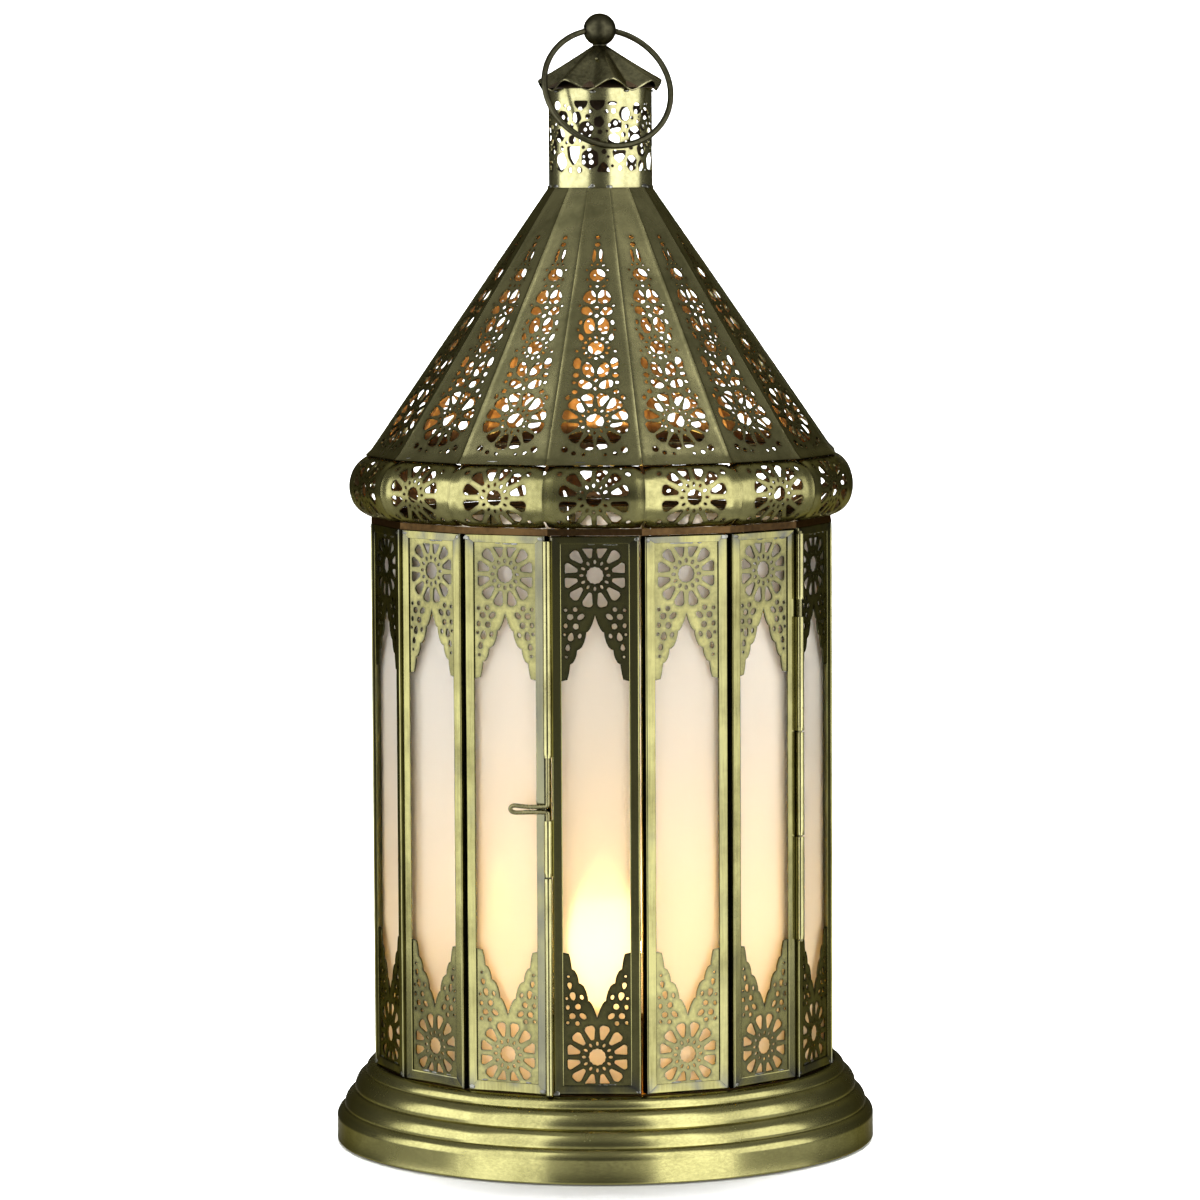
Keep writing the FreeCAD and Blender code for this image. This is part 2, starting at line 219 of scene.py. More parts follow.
def rosette(cx, cy, rc, rd, r0, r1, xmax=99.0, ymax=99.0, ymin=-99.0, sx=1.0, sy=1.0,
            dot=(0.62, 0.95), scallop=0.035, w1=2.75, w0=0.72):
    out = [circ(cx, cy, rc, 60, scallop, 12)]
    for i in range(12):
        a = math.radians(30 * i)
        out.append(oval(cx + rd * math.cos(a), cy + rd * math.sin(a), dot[1], dot[0], 30 * i, 12))
    for i in range(12):
        out.append(wedge_petal(cx, cy, 15 + 30 * i, r0, r1, w0, w1, 0.95, xmax, ymax, ymin))
    res = []
    for lp in out:
        q = lp.copy()
        q[:, 0] = cx + (q[:, 0] - cx) * sx
        q[:, 1] = cy + (q[:, 1] - cy) * sy
        res.append(q)
    return res


def triangulate(outline, holes, grid, rim, extra_pts=None):
    loops = [densify(outline, max(0.8, grid * 0.7))] + [np.asarray(h) for h in holes]
    if area2(loops[0]) < 0:
        loops[0] = loops[0][::-1]
    pts, edges = [], []

    def add(lp):
        s = len(pts)
        m = len(lp)
        pts.extend(map(tuple, lp))
        edges.extend((s + i, s + (i + 1) % m) for i in range(m))
    for lp in loops:
        add(lp)
    bound = loops
    if rim > 0:
        extra = [offset_loop(loops[0], -rim)] + [offset_loop(h, rim) for h in loops[1:]]
        for lp in extra:
            P = np.asarray(lp)
            d = seg_dist(P, bound)
            pts.extend(map(tuple, P[d > rim * 0.75]))
    lo, hi = loops[0].min(0), loops[0].max(0)
    nx, ny = int((hi[0] - lo[0]) / grid) + 1, int((hi[1] - lo[1]) / grid) + 1
    gx, gy = np.meshgrid(np.linspace(lo[0], hi[0], nx + 1), np.linspace(lo[1], hi[1], ny + 1))
    gx = gx + (np.arange(ny + 1)[:, None] % 2) * grid * 0.25
    G = np.stack([gx.ravel(), gy.ravel()], 1)
    ok = inside(G, loops[0])
    for h in loops[1:]:
        ok &= ~inside(G, h)
    G = G[ok]
    G = G[seg_dist(G, bound) > max(rim * 1.8, grid * 0.42)]
    pts.extend(map(tuple, G))
    if extra_pts is not None and len(extra_pts):
        X = np.asarray(extra_pts, float)
        ok = inside(X, loops[0])
        for h in loops[1:]:
            ok &= ~inside(X, h)
        X = X[ok]
        X = X[seg_dist(X, bound) > 0.3]
        pts.extend(map(tuple, X))
    res = delaunay_2d_cdt([Vector(p) for p in pts], edges, [], 0, 1e-5)
    V2 = np.array([tuple(v) for v in res[0]])
    T = np.array([tuple(f) for f in res[2] if len(f) == 3])
    C = V2[T].mean(1)
    keep = inside(C, loops[0])
    for h in loops[1:]:
        lo, hi = h.min(0), h.max(0)
        near = np.where((C > lo).all(1) & (C < hi).all(1))[0]
        if len(near):
            sub = inside(C[near], h)
            keep[near[sub]] = False
    T = T[keep]
    a = V2[T]
    cr = (a[:, 1, 0] - a[:, 0, 0]) * (a[:, 2, 1] - a[:, 0, 1]) - (a[:, 1, 1] - a[:, 0, 1]) * (a[:, 2, 0] - a[:, 0, 0])
    T = T[np.abs(cr) > 1e-9]
    cr = cr[np.abs(cr) > 1e-9]
    T[cr < 0] = T[cr < 0][:, ::-1]
    used = np.unique(T)
    remap = -np.ones(len(V2), int)
    remap[used] = np.arange(len(used))
    V2, T = V2[used], remap[T]
    return V2, T, seg_dist(V2, bound)


def solid_sheet(V2, T, dist, place, thick, rim, drop, joined=None):
    # place(points2d, depth) -> points3d; the front is at depth 0
    n = len(V2)
    f = np.clip(1 - dist / max(rim, 1e-6), 0, 1) ** 2 * drop if rim > 0 else np.zeros(n)
    front = place(V2, f)
    back = place(V2, np.full(n, thick))
    E = np.concatenate([T[:, [0, 1]], T[:, [1, 2]], T[:, [2, 0]]])
    key = E.min(1) * (n + 1) + E.max(1)
    u, inv, cnt = np.unique(key, return_inverse=True, return_counts=True)
    B = E[cnt[inv] == 1]
    if joined is not None:
        B = B[~(joined[B[:, 0]] & joined[B[:, 1]])]
    quads = np.stack([B[:, 1], B[:, 0], B[:, 0] + n, B[:, 1] + n], 1)
    tris = np.concatenate([T, T[:, ::-1] + n])
    # rim mask, full at cut edges and fading over 1.2 mm: drives darkening that is partly patina, partly painted shade
    # at the hole edges
    rimv = np.concatenate([np.clip(1 - dist / 1.2, 0, 1), np.clip(1 - dist / 1.2, 0, 1)])
    return np.concatenate([front, back]), tris, quads, rimv


def copies(name, parts, smooth=35.0, inner=None, weld=False):
    # parts: list of (verts, tris, quads, rim)
    vs, ts, qs, rs, off = [], [], [], [], 0
    for v, t, q, r in parts:
        vs.append(v)
        if t is not None and len(t):
            ts.append(np.asarray(t) + off)
        if q is not None and len(q):
            qs.append(np.asarray(q) + off)
        rs.append(r if r is not None else np.zeros(len(v)))
        off += len(v)
    faces = pack_faces(np.concatenate(ts) if ts else None, np.concatenate(qs) if qs else None)
    ob = make(name, np.concatenate(vs), faces, smooth, np.concatenate(rs))
    if inner is not None:
        # the hidden side of the sheet takes the inner material: brown brass on the cornice, brown oxide with painted
        # warm lamp light on the roof, painted shade in the chimney
        flag = np.concatenate([np.concatenate([np.zeros(len(t) // 2, np.int32), np.ones(len(t) - len(t) // 2, np.int32)]) for t in ts])
        flag = np.concatenate([flag, np.zeros(len(ob.data.polygons) - len(flag), np.int32)])
        ob["inner"] = 1
        ob.data.materials.append(inner)
        ob.data.materials.append(inner)
        ob.data.polygons.foreach_set("material_index", flag)
    if weld:
        bm = bmesh.new(); bm.from_mesh(ob.data)
        bmesh.ops.remove_doubles(bm, verts=bm.verts, dist=2e-6)
        bm.to_mesh(ob.data); bm.free()
        ob.data.set_sharp_from_angle(angle=math.radians(smooth))
    return ob


def grid_mesh(P, closed_u=False, closed_v=False):
    # P: (nu, nv, 3) -> verts, quads
    nu, nv = P.shape[:2]
    iu = np.arange(nu if closed_u else nu - 1)
    iv = np.arange(nv if closed_v else nv - 1)
    a = (iu[:, None] * nv + iv[None]).ravel()
    b = (((iu + 1) % nu)[:, None] * nv + iv[None]).ravel()
    c = (((iu + 1) % nu)[:, None] * nv + ((iv + 1) % nv)[None]).ravel()
    d = (iu[:, None] * nv + ((iv + 1) % nv)[None]).ravel()
    return P.reshape(-1, 3), np.stack([a, b, c, d], 1)


def lathe(name, prof, n=192, centre=(0, 0), smooth=35.0, closed=True, wob=None):
    # closed profile of (r, z), anticlockwise when r is to the right
    prof = np.asarray(prof, float)
    t = np.arange(n) * 2 * math.pi / n
    P = np.zeros((n, len(prof), 3))
    r = prof[None, :, 0] * np.ones((n, 1))
    z = prof[None, :, 1] * np.ones((n, 1))
    if wob is not None:
        r = r + wob(t[:, None], prof[None, :, 0], prof[None, :, 1])
    P[..., 0] = centre[0] + r * np.cos(t)[:, None]
    P[..., 1] = centre[1] + r * np.sin(t)[:, None]
    P[..., 2] = z
    v, q = grid_mesh(P, True, closed)
    return make(name, v, pack_faces(None, q), smooth)


def arc3(p, m, q, n=8):
    # points of the circular arc through three points, without the last one
    (ax, ay), (bx, by), (cx, cy) = p, m, q
    d = 2 * (ax * (by - cy) + bx * (cy - ay) + cx * (ay - by))
    ux = ((ax * ax + ay * ay) * (by - cy) + (bx * bx + by * by) * (cy - ay) + (cx * cx + cy * cy) * (ay - by)) / d
    uy = ((ax * ax + ay * ay) * (cx - bx) + (bx * bx + by * by) * (ax - cx) + (cx * cx + cy * cy) * (bx - ax)) / d
    r = math.hypot(ax - ux, ay - uy)
    a0, a1, a2 = [math.atan2(y - uy, x - ux) for x, y in (p, m, q)]
    while a1 - a0 > math.pi: a1 -= 2 * math.pi
    while a1 - a0 < -math.pi: a1 += 2 * math.pi
    while a2 - a1 > math.pi: a2 -= 2 * math.pi
    while a2 - a1 < -math.pi: a2 += 2 * math.pi
    return [(ux + r * math.cos(a0 + (a2 - a0) * i / n), uy + r * math.sin(a0 + (a2 - a0) * i / n)) for i in range(n)]


def seam_xy(theta, r=110.4):
    a = math.radians(theta)
    return np.array([r * math.sin(a), -r * math.cos(a)])


# ======================================================================
# materials
# ======================================================================
def nt_new(name):
    m = bpy.data.materials.new(name)
    m.use_nodes = True
    nt = m.node_tree
    nt.nodes.clear()
    return m, nt


def add(nt, kind, **kw):
    nd = nt.nodes.new(kind)
    for k, v in kw.items():
        setattr(nd, k, v)
    return nd


def ramp(nt, stops):
    r = add(nt, "ShaderNodeValToRGB")
    e = r.color_ramp.elements
    while len(e) < len(stops):
        e.new(0.5)
    for el, (p, c) in zip(e, stops):
        el.position = p
        el.color = c if len(c) == 4 else (*c, 1)
    return r


def brass(name, light, dark, rough=(0.22, 0.42), stretch=(1, 1, 1), polar=False, grain=1.0,
          marks_and_shade=0.5, tarnish_and_shade=(0.10, 0.085, 0.04), bump=0.25, spots=0.5, metal=1.0, edge=0.85):
    m, nt = nt_new(name)
    L = nt.links
    out = add(nt, "ShaderNodeOutputMaterial")
    b = add(nt, "ShaderNodeBsdfPrincipled")
    b.inputs["Metallic"].default_value = metal
    L.new(b.outputs[0], out.inputs[0])
    tc = add(nt, "ShaderNodeTexCoord")
    if polar:
        sep = add(nt, "ShaderNodeSeparateXYZ")
        L.new(tc.outputs["Object"], sep.inputs[0])
        ang = add(nt, "ShaderNodeMath", operation="ARCTAN2")
        L.new(sep.outputs[0], ang.inputs[0]); L.new(sep.outputs[1], ang.inputs[1])
        sc = add(nt, "ShaderNodeMath", operation="MULTIPLY")
        L.new(ang.outputs[0], sc.inputs[0]); sc.inputs[1].default_value = 0.05
        ln = add(nt, "ShaderNodeVectorMath", operation="LENGTH")
        xy = add(nt, "ShaderNodeCombineXYZ")
        L.new(sep.outputs[0], xy.inputs[0]); L.new(sep.outputs[1], xy.inputs[1])
        L.new(xy.outputs[0], ln.inputs[0])
        cb = add(nt, "ShaderNodeCombineXYZ")
        L.new(ln.outputs["Value"], cb.inputs[0]); L.new(sc.outputs[0], cb.inputs[1]); L.new(sep.outputs[2], cb.inputs[2])
        vec = cb.outputs[0]
    else:
        vec = tc.outputs["Object"]
    mp = add(nt, "ShaderNodeMapping")
    mp.inputs["Scale"].default_value = stretch
    L.new(vec, mp.inputs[0])
    # brushed grain
    g = add(nt, "ShaderNodeTexNoise")
    g.inputs["Scale"].default_value = 900.0 * grain
    g.inputs["Detail"].default_value = 3.0
    L.new(mp.outputs[0], g.inputs["Vector"])
    # broad tarnish clouds
    c = add(nt, "ShaderNodeTexNoise")
    c.inputs["Scale"].default_value = 34.0
    c.inputs["Detail"].default_value = 6.0
    c.inputs["Roughness"].default_value = 0.62
    L.new(tc.outputs["Object"], c.inputs["Vector"])
    # fine specks
    s = add(nt, "ShaderNodeTexNoise")
    s.inputs["Scale"].default_value = 420.0
    s.inputs["Detail"].default_value = 4.0
    s.inputs["Roughness"].default_value = 0.7
    L.new(tc.outputs["Object"], s.inputs["Vector"])
    r1 = ramp(nt, [(0.30, (*dark, 1)), (0.62, (*light, 1))])
    mixf = add(nt, "ShaderNodeMath", operation="MULTIPLY_ADD")
    L.new(g.outputs[0], mixf.inputs[0]); mixf.inputs[1].default_value = 0.35
    L.new(c.outputs[0], mixf.inputs[2])
    sub = add(nt, "ShaderNodeMath", operation="SUBTRACT")
    L.new(mixf.outputs[0], sub.inputs[0]); sub.inputs[1].default_value = 0.17
    L.new(sub.outputs[0], r1.inputs[0])
    rs = ramp(nt, [(0.60, (0, 0, 0, 1)), (0.78, (1, 1, 1, 1))])
    L.new(s.outputs[0], rs.inputs[0])
    sp = add(nt, "ShaderNodeMath", operation="MULTIPLY")
    L.new(rs.outputs[0], sp.inputs[0]); sp.inputs[1].default_value = spots
    mx = add(nt, "ShaderNodeMix", data_type="RGBA")
    L.new(sp.outputs[0], mx.inputs["Factor"])
    L.new(r1.outputs[0], mx.inputs[6])
    mx.inputs[7].default_value = (*tarnish_and_shade, 1)
    # darker halo beside cut edges from the 'rim' attribute: real patina and frame solder grey, plus painted shade at
    # hole edges, toward the plates' sides and deep in the frame grooves
    at = add(nt, "ShaderNodeAttribute", attribute_name="rim")
    rp = add(nt, "ShaderNodeMath", operation="POWER")
    L.new(at.outputs["Fac"], rp.inputs[0]); rp.inputs[1].default_value = 1.6
    rm = add(nt, "ShaderNodeMath", operation="MULTIPLY")
    L.new(rp.outputs[0], rm.inputs[0]); rm.inputs[1].default_value = marks_and_shade
    mx2 = add(nt, "ShaderNodeMix", data_type="RGBA")
    L.new(rm.outputs[0], mx2.inputs["Factor"])
    L.new(mx.outputs[2], mx2.inputs[6])
    mx2.inputs[7].default_value = (*tarnish_and_shade, 1)
    # tarnished brass reflects less at grazing angles
    b.inputs["Specular Tint"].default_value = tuple(1 - edge * (1 - q) for q in (0.28, 0.24, 0.14)) + (1,)
    L.new(mx2.outputs[2], b.inputs["Base Color"])
    rr = add(nt, "ShaderNodeMapRange")
    rr.inputs["From Min"].default_value = 0.3
    rr.inputs["From Max"].default_value = 0.75
    rr.inputs["To Min"].default_value = rough[1]
    rr.inputs["To Max"].default_value = rough[0]
    L.new(mixf.outputs[0], rr.inputs[0])
    L.new(rr.outputs[0], b.inputs["Roughness"])
    bp = add(nt, "ShaderNodeBump")
    bp.inputs["Strength"].default_value = bump
    bp.inputs["Distance"].default_value = 0.00006
    L.new(g.outputs[0], bp.inputs["Height"])
    bp2 = add(nt, "ShaderNodeBump")
    bp2.inputs["Strength"].default_value = 0.12
    bp2.inputs["Distance"].default_value = 0.0005
    L.new(c.outputs[0], bp2.inputs["Height"])
    L.new(bp.outputs[0], bp2.inputs["Normal"])
    L.new(bp2.outputs[0], b.inputs["Normal"])
    return m


def plain(name, col, rough, metal=0.0, nscale=60.0, amp=0.25, bump=0.1, dist=0.0002, detail=5.0):
    m, nt = nt_new(name)
    L = nt.links
    out = add(nt, "ShaderNodeOutputMaterial")
    b = add(nt, "ShaderNodeBsdfPrincipled")
    b.inputs["Metallic"].default_value = metal
    L.new(b.outputs[0], out.inputs[0])
    tc = add(nt, "ShaderNodeTexCoord")
    n = add(nt, "ShaderNodeTexNoise")
    n.inputs["Scale"].default_value = nscale
    n.inputs["Detail"].default_value = detail
    L.new(tc.outputs["Object"], n.inputs["Vector"])
    r = ramp(nt, [(0.3, tuple(c * (1 - amp) for c in col)), (0.7, tuple(min(1, c * (1 + amp)) for c in col))])
    L.new(n.outputs[0], r.inputs[0])
    L.new(r.outputs[0], b.inputs["Base Color"])
    mr = add(nt, "ShaderNodeMapRange")
    mr.inputs["To Min"].default_value = max(0.02, rough - 0.1)
    mr.inputs["To Max"].default_value = min(1, rough + 0.1)
    L.new(n.outputs[0], mr.inputs[0])
    L.new(mr.outputs[0], b.inputs["Roughness"])
    bp = add(nt, "ShaderNodeBump")
    bp.inputs["Strength"].default_value = bump
    bp.inputs["Distance"].default_value = dist
    L.new(n.outputs[0], bp.inputs["Height"])
    L.new(bp.outputs[0], b.inputs["Normal"])
    return m


def frosted(name):
    m, nt = nt_new(name)
    L = nt.links
    out = add(nt, "ShaderNodeOutputMaterial")
    tc = add(nt, "ShaderNodeTexCoord")
    mp = add(nt, "ShaderNodeMapping")
    mp.inputs["Scale"].default_value = (1, 1, 0.22)
    L.new(tc.outputs["Object"], mp.inputs[0])
    n = add(nt, "ShaderNodeTexNoise")
    n.inputs["Scale"].default_value = 45.0
    n.inputs["Detail"].default_value = 3.0
    L.new(mp.outputs[0], n.inputs["Vector"])
    f = add(nt, "ShaderNodeTexNoise")
    f.inputs["Scale"].default_value = 900.0
    f.inputs["Detail"].default_value = 3.0
    L.new(tc.outputs["Object"], f.inputs["Vector"])
    bp = add(nt, "ShaderNodeBump")
    bp.inputs["Strength"].default_value = 0.25
    bp.inputs["Distance"].default_value = 0.0008
    L.new(n.outputs[0], bp.inputs["Height"])
    bp2 = add(nt, "ShaderNodeBump")
    bp2.inputs["Strength"].default_value = 0.12
    bp2.inputs["Distance"].default_value = 0.00005
    L.new(f.outputs[0], bp2.inputs["Height"])
    L.new(bp.outputs[0], bp2.inputs["Normal"])
    colr = ramp(nt, [(0.35, (0.955, 0.955, 0.95)), (0.65, (0.995, 0.995, 0.995))])
    L.new(n.outputs[0], colr.inputs[0])
    # the glass colour turns warm toward the bottom, near the bulb, and paler higher up: painted warm lamp light
    sz = add(nt, "ShaderNodeSeparateXYZ")
    L.new(tc.outputs["Object"], sz.inputs[0])
    zr = add(nt, "ShaderNodeMapRange")
    zr.inputs["From Min"].default_value = 0.05
    zr.inputs["From Max"].default_value = 0.31
    L.new(sz.outputs[2], zr.inputs[0])
    painted_lamp_glow_ramp = ramp(nt, [(0.0, (0.94, 0.79, 0.53)), (0.30, (0.94, 0.82, 0.61)), (0.60, (0.935, 0.875, 0.765)), (1.0, (0.93, 0.90, 0.855))])
    L.new(zr.outputs[0], painted_lamp_glow_ramp.inputs[0])
    col = add(nt, "ShaderNodeMix", data_type="RGBA", blend_type="MULTIPLY")
    col.inputs["Factor"].default_value = 1.0
    L.new(colr.outputs[0], col.inputs[6]); L.new(painted_lamp_glow_ramp.outputs[0], col.inputs[7])
    tr = add(nt, "ShaderNodeBsdfTranslucent")
    L.new(col.outputs[2], tr.inputs[0])
    df = add(nt, "ShaderNodeBsdfDiffuse")
    L.new(col.outputs[2], df.inputs[0])
    mx1 = add(nt, "ShaderNodeMixShader")
    mx1.inputs[0].default_value = 0.50
    L.new(tr.outputs[0], mx1.inputs[1]); L.new(df.outputs[0], mx1.inputs[2])
    gl = add(nt, "ShaderNodeBsdfPrincipled")
    gl.inputs["Base Color"].default_value = (1.0, 0.93, 0.80, 1)
    gl.inputs["Roughness"].default_value = 0.30
    gl.inputs["Transmission Weight"].default_value = 1.0
    gl.inputs["IOR"].default_value = 1.12
    mx2 = add(nt, "ShaderNodeMixShader")
    mx2.inputs[0].default_value = 0.30
    L.new(mx1.outputs[0], mx2.inputs[1]); L.new(gl.outputs[0], mx2.inputs[2])
    gs = add(nt, "ShaderNodeBsdfGlossy")
    gs.inputs["Roughness"].default_value = 0.08
    L.new(bp2.outputs[0], gs.inputs["Normal"])
    fr = add(nt, "ShaderNodeFresnel")
    fr.inputs["IOR"].default_value = 1.5
    L.new(bp2.outputs[0], fr.inputs["Normal"])
    mx3 = add(nt, "ShaderNodeMixShader")
    L.new(fr.outputs[0], mx3.inputs[0])
    L.new(mx2.outputs[0], mx3.inputs[1]); L.new(gs.outputs[0], mx3.inputs[2])
    L.new(mx3.outputs[0], out.inputs[0])
    return m


def bulb_mat(name, strength):
    m, nt = nt_new(name)
    L = nt.links
    out = add(nt, "ShaderNodeOutputMaterial")
    b = add(nt, "ShaderNodeBsdfPrincipled")
    b.inputs["Base Color"].default_value = (1.0, 0.93, 0.80, 1)
    b.inputs["Roughness"].default_value = 0.25
    tc = add(nt, "ShaderNodeTexCoord")
    sep = add(nt, "ShaderNodeSeparateXYZ")
    L.new(tc.outputs["Object"], sep.inputs[0])
    mr = add(nt, "ShaderNodeMapRange")
    mr.inputs["From Min"].default_value = 0.062
    mr.inputs["From Max"].default_value = 0.132
    L.new(sep.outputs[2], mr.inputs[0])
    r = ramp(nt, [(0.0, (0.40, 0.26, 0.09)), (0.16, (0.85, 0.60, 0.24)), (0.40, (1.0, 0.72, 0.34)), (0.60, (0.50, 0.35, 0.14)), (0.76, (0.16, 0.10, 0.04)), (1.0, (0.06, 0.035, 0.012))])
    L.new(mr.outputs[0], r.inputs[0])
    L.new(r.outputs[0], b.inputs["Emission Color"])
    b.inputs["Emission Strength"].default_value = strength
    L.new(b.outputs[0], out.inputs[0])
    return m


M_FRAME = brass("brushed_brass_frames", (0.34, 0.32, 0.135), (0.20, 0.185, 0.075), (0.15, 0.27), (1, 1, 0.06), grain=1.0, marks_and_shade=0.92, bump=0.2, spots=0.10, tarnish_and_shade=(0.115, 0.118, 0.112))
M_PLATE = brass("etched_brass_plates", (0.32, 0.30, 0.125), (0.185, 0.172, 0.07), (0.19, 0.30), (1, 1, 1), grain=0.6, marks_and_shade=0.85, bump=0.2, spots=0.12, tarnish_and_shade=(0.062, 0.062, 0.045))
M_ROOF = brass("antique_brass_roof", (0.43, 0.40, 0.195), (0.20, 0.188, 0.088), (0.24, 0.38), (1, 1, 1), grain=0.2, marks_and_shade=0.6, bump=0.08, spots=0.05)
M_BAND = brass("antique_brass_cornice", (0.40, 0.375, 0.165), (0.24, 0.225, 0.09), (0.22, 0.36), (1, 1, 1), grain=0.5, marks_and_shade=0.6, bump=0.2, spots=0.1)
M_BASE = brass("spun_brass_base", (0.46, 0.43, 0.18), (0.29, 0.27, 0.105), (0.20, 0.36), (1.0, 1.0, 1.0), polar=True, grain=1.6, marks_and_shade=0.0, bump=0.22, spots=0.04)
M_CAP = brass("bronzed_brass_cap_sheet", (0.40, 0.375, 0.21), (0.07, 0.065, 0.036), (0.22, 0.38), (1, 1, 1), grain=0.6, marks_and_shade=0.3, bump=0.5, spots=0.3, tarnish_and_shade=(0.03, 0.027, 0.018), edge=0.7)
M_BANDIN = brass("brown_inner_side", (0.26, 0.145, 0.055), (0.12, 0.065, 0.026), (0.40, 0.6), (1, 1, 1), grain=0.5, marks_and_shade=0.2, bump=0.2, spots=0.2, metal=0.75, edge=0.3)
M_CHIM = brass("polished_brass_chimney", (0.58, 0.55, 0.29), (0.34, 0.32, 0.15), (0.20, 0.34), (1, 1, 1), grain=0.5, marks_and_shade=0.3, bump=0.2, spots=0.08, edge=0.6)
M_DARK = brass("bronzed_brass_cap", (0.085, 0.079, 0.046), (0.03, 0.028, 0.016), (0.38, 0.58), (1, 1, 1), grain=0.6, marks_and_shade=0.3, bump=0.5, spots=0.3, tarnish_and_shade=(0.03, 0.027, 0.018))
M_WIRE = brass("drawn_brass_wire", (0.30, 0.275, 0.14), (0.12, 0.11, 0.05), (0.25, 0.42), (1, 1, 1), grain=0.8, marks_and_shade=0.0, bump=0.3)
M_TUBE = brass("rolled_brass_tube", (0.50, 0.47, 0.23), (0.28, 0.26, 0.12), (0.16, 0.32), (1, 1, 0.05), grain=1.0, marks_and_shade=0.2, bump=0.25)
M_INNER = brass("raw_brass_ring", (0.095, 0.055, 0.022), (0.035, 0.021, 0.010), (0.35, 0.55), (1, 1, 1), grain=0.5, marks_and_shade=0.0, bump=0.3)
# near-black inner material for the chimney and the cap liner: painted shade inside the chimney and under the cap
M_PAINTED_SHADE = brass("painted_shade_inner_side", (0.060, 0.038, 0.019), (0.022, 0.014, 0.008), (0.45, 0.65), (1, 1, 1), grain=0.5, marks_and_shade=0.2, bump=0.2, spots=0.2, metal=0.6, edge=0.3)
# the roof's inner side: the brass's own brown oxide, brightened to strong orange as painted warm lamp light
M_BACK = brass("oxide_and_lamp_glow_inner_side", (0.85, 0.50, 0.20), (0.50, 0.26, 0.09), (0.40, 0.6), (1, 1, 1), grain=0.5, marks_and_shade=0.2, bump=0.2, spots=0.2, metal=0.75, edge=0.3)
M_SOLDER = brass("tin_solder", (0.30, 0.30, 0.27), (0.14, 0.14, 0.12), (0.25, 0.5), (1, 1, 1), grain=0.7, marks_and_shade=0.0, bump=0.6, spots=0.7, tarnish_and_shade=(0.2, 0.19, 0.15))
M_ZINC = plain("zinc_plate", (0.55, 0.55, 0.53), 0.4, 1.0, 90.0, 0.2, 0.2)
M_FELT = plain("felt_pad", (0.04, 0.07, 0.05), 0.95, 0.0, 1500.0, 0.5, 0.8, 0.0006)
M_RUBBER = plain("black_rubber_grommet", (0.02, 0.02, 0.02), 0.6, 0.0, 300.0, 0.3, 0.2)
M_RESIN = plain("moulded_black_resin", (0.025, 0.025, 0.027), 0.42, 0.0, 250.0, 0.25, 0.2)
M_GLASS = frosted("frosted_glass")
M_BULB = bulb_mat("lit_opal_bulb", 66.0)


def finish_piece(ob, mat, body, *nodes, slot=None):
    if "inner" in ob:
        ob.data.materials[0] = mat
        del ob["inner"]
    else:
        ob.data.materials.clear()
        ob.data.materials.append(mat)
    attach(ob, body)
    if nodes:
        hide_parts(*nodes)
    return ob


def cad_mat(node, mat):
    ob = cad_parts[node]
    if not ob.material_slots:
        ob.data.materials.append(mat)
    for s in ob.material_slots:
        s.material = mat


# ======================================================================
# panel frames: four mitred channel strips each
# ======================================================================
def channel_section():
    # (p across from the outer edge, q depth from the face), p runs to 4.6
    o = [(4.6, 0.30), (4.55, 0.10), (4.40, 0.01), (4.1, 0.0), (3.2, 0.0), (2.3, 0.0), (1.4, 0.0), (0.80, 0.0),
         (0.52, 0.05), (0.27, 0.19), (0.10, 0.40), (0.02, 0.68), (0.0, 1.1), (0.0, 3.0), (0.0, 6.3), (0.12, 6.75), (0.45, 6.97), (3.6, 7.0),
         (3.6, 6.42), (0.9, 6.4), (0.66, 6.25), (0.6, 6.0), (0.6, 1.15), (0.68, 0.85), (0.95, 0.62), (2.6, 0.6), (4.6, 0.6)]
    return np.array(o)


SEC = channel_section()


def strip(k, horizontal, e0, e1, o0, o1, seed, seg=26):
    """e0..e1 range of the outer edge along the strip, o0..o1 of the inner edge; not used."""
    u = np.linspace(0, 1, seg + 1)
    p, q = SEC[:, 0], SEC[:, 1]
    f = p / 4.6
    P = np.zeros((seg + 1, len(SEC), 3))
    return u, p, q, f, P


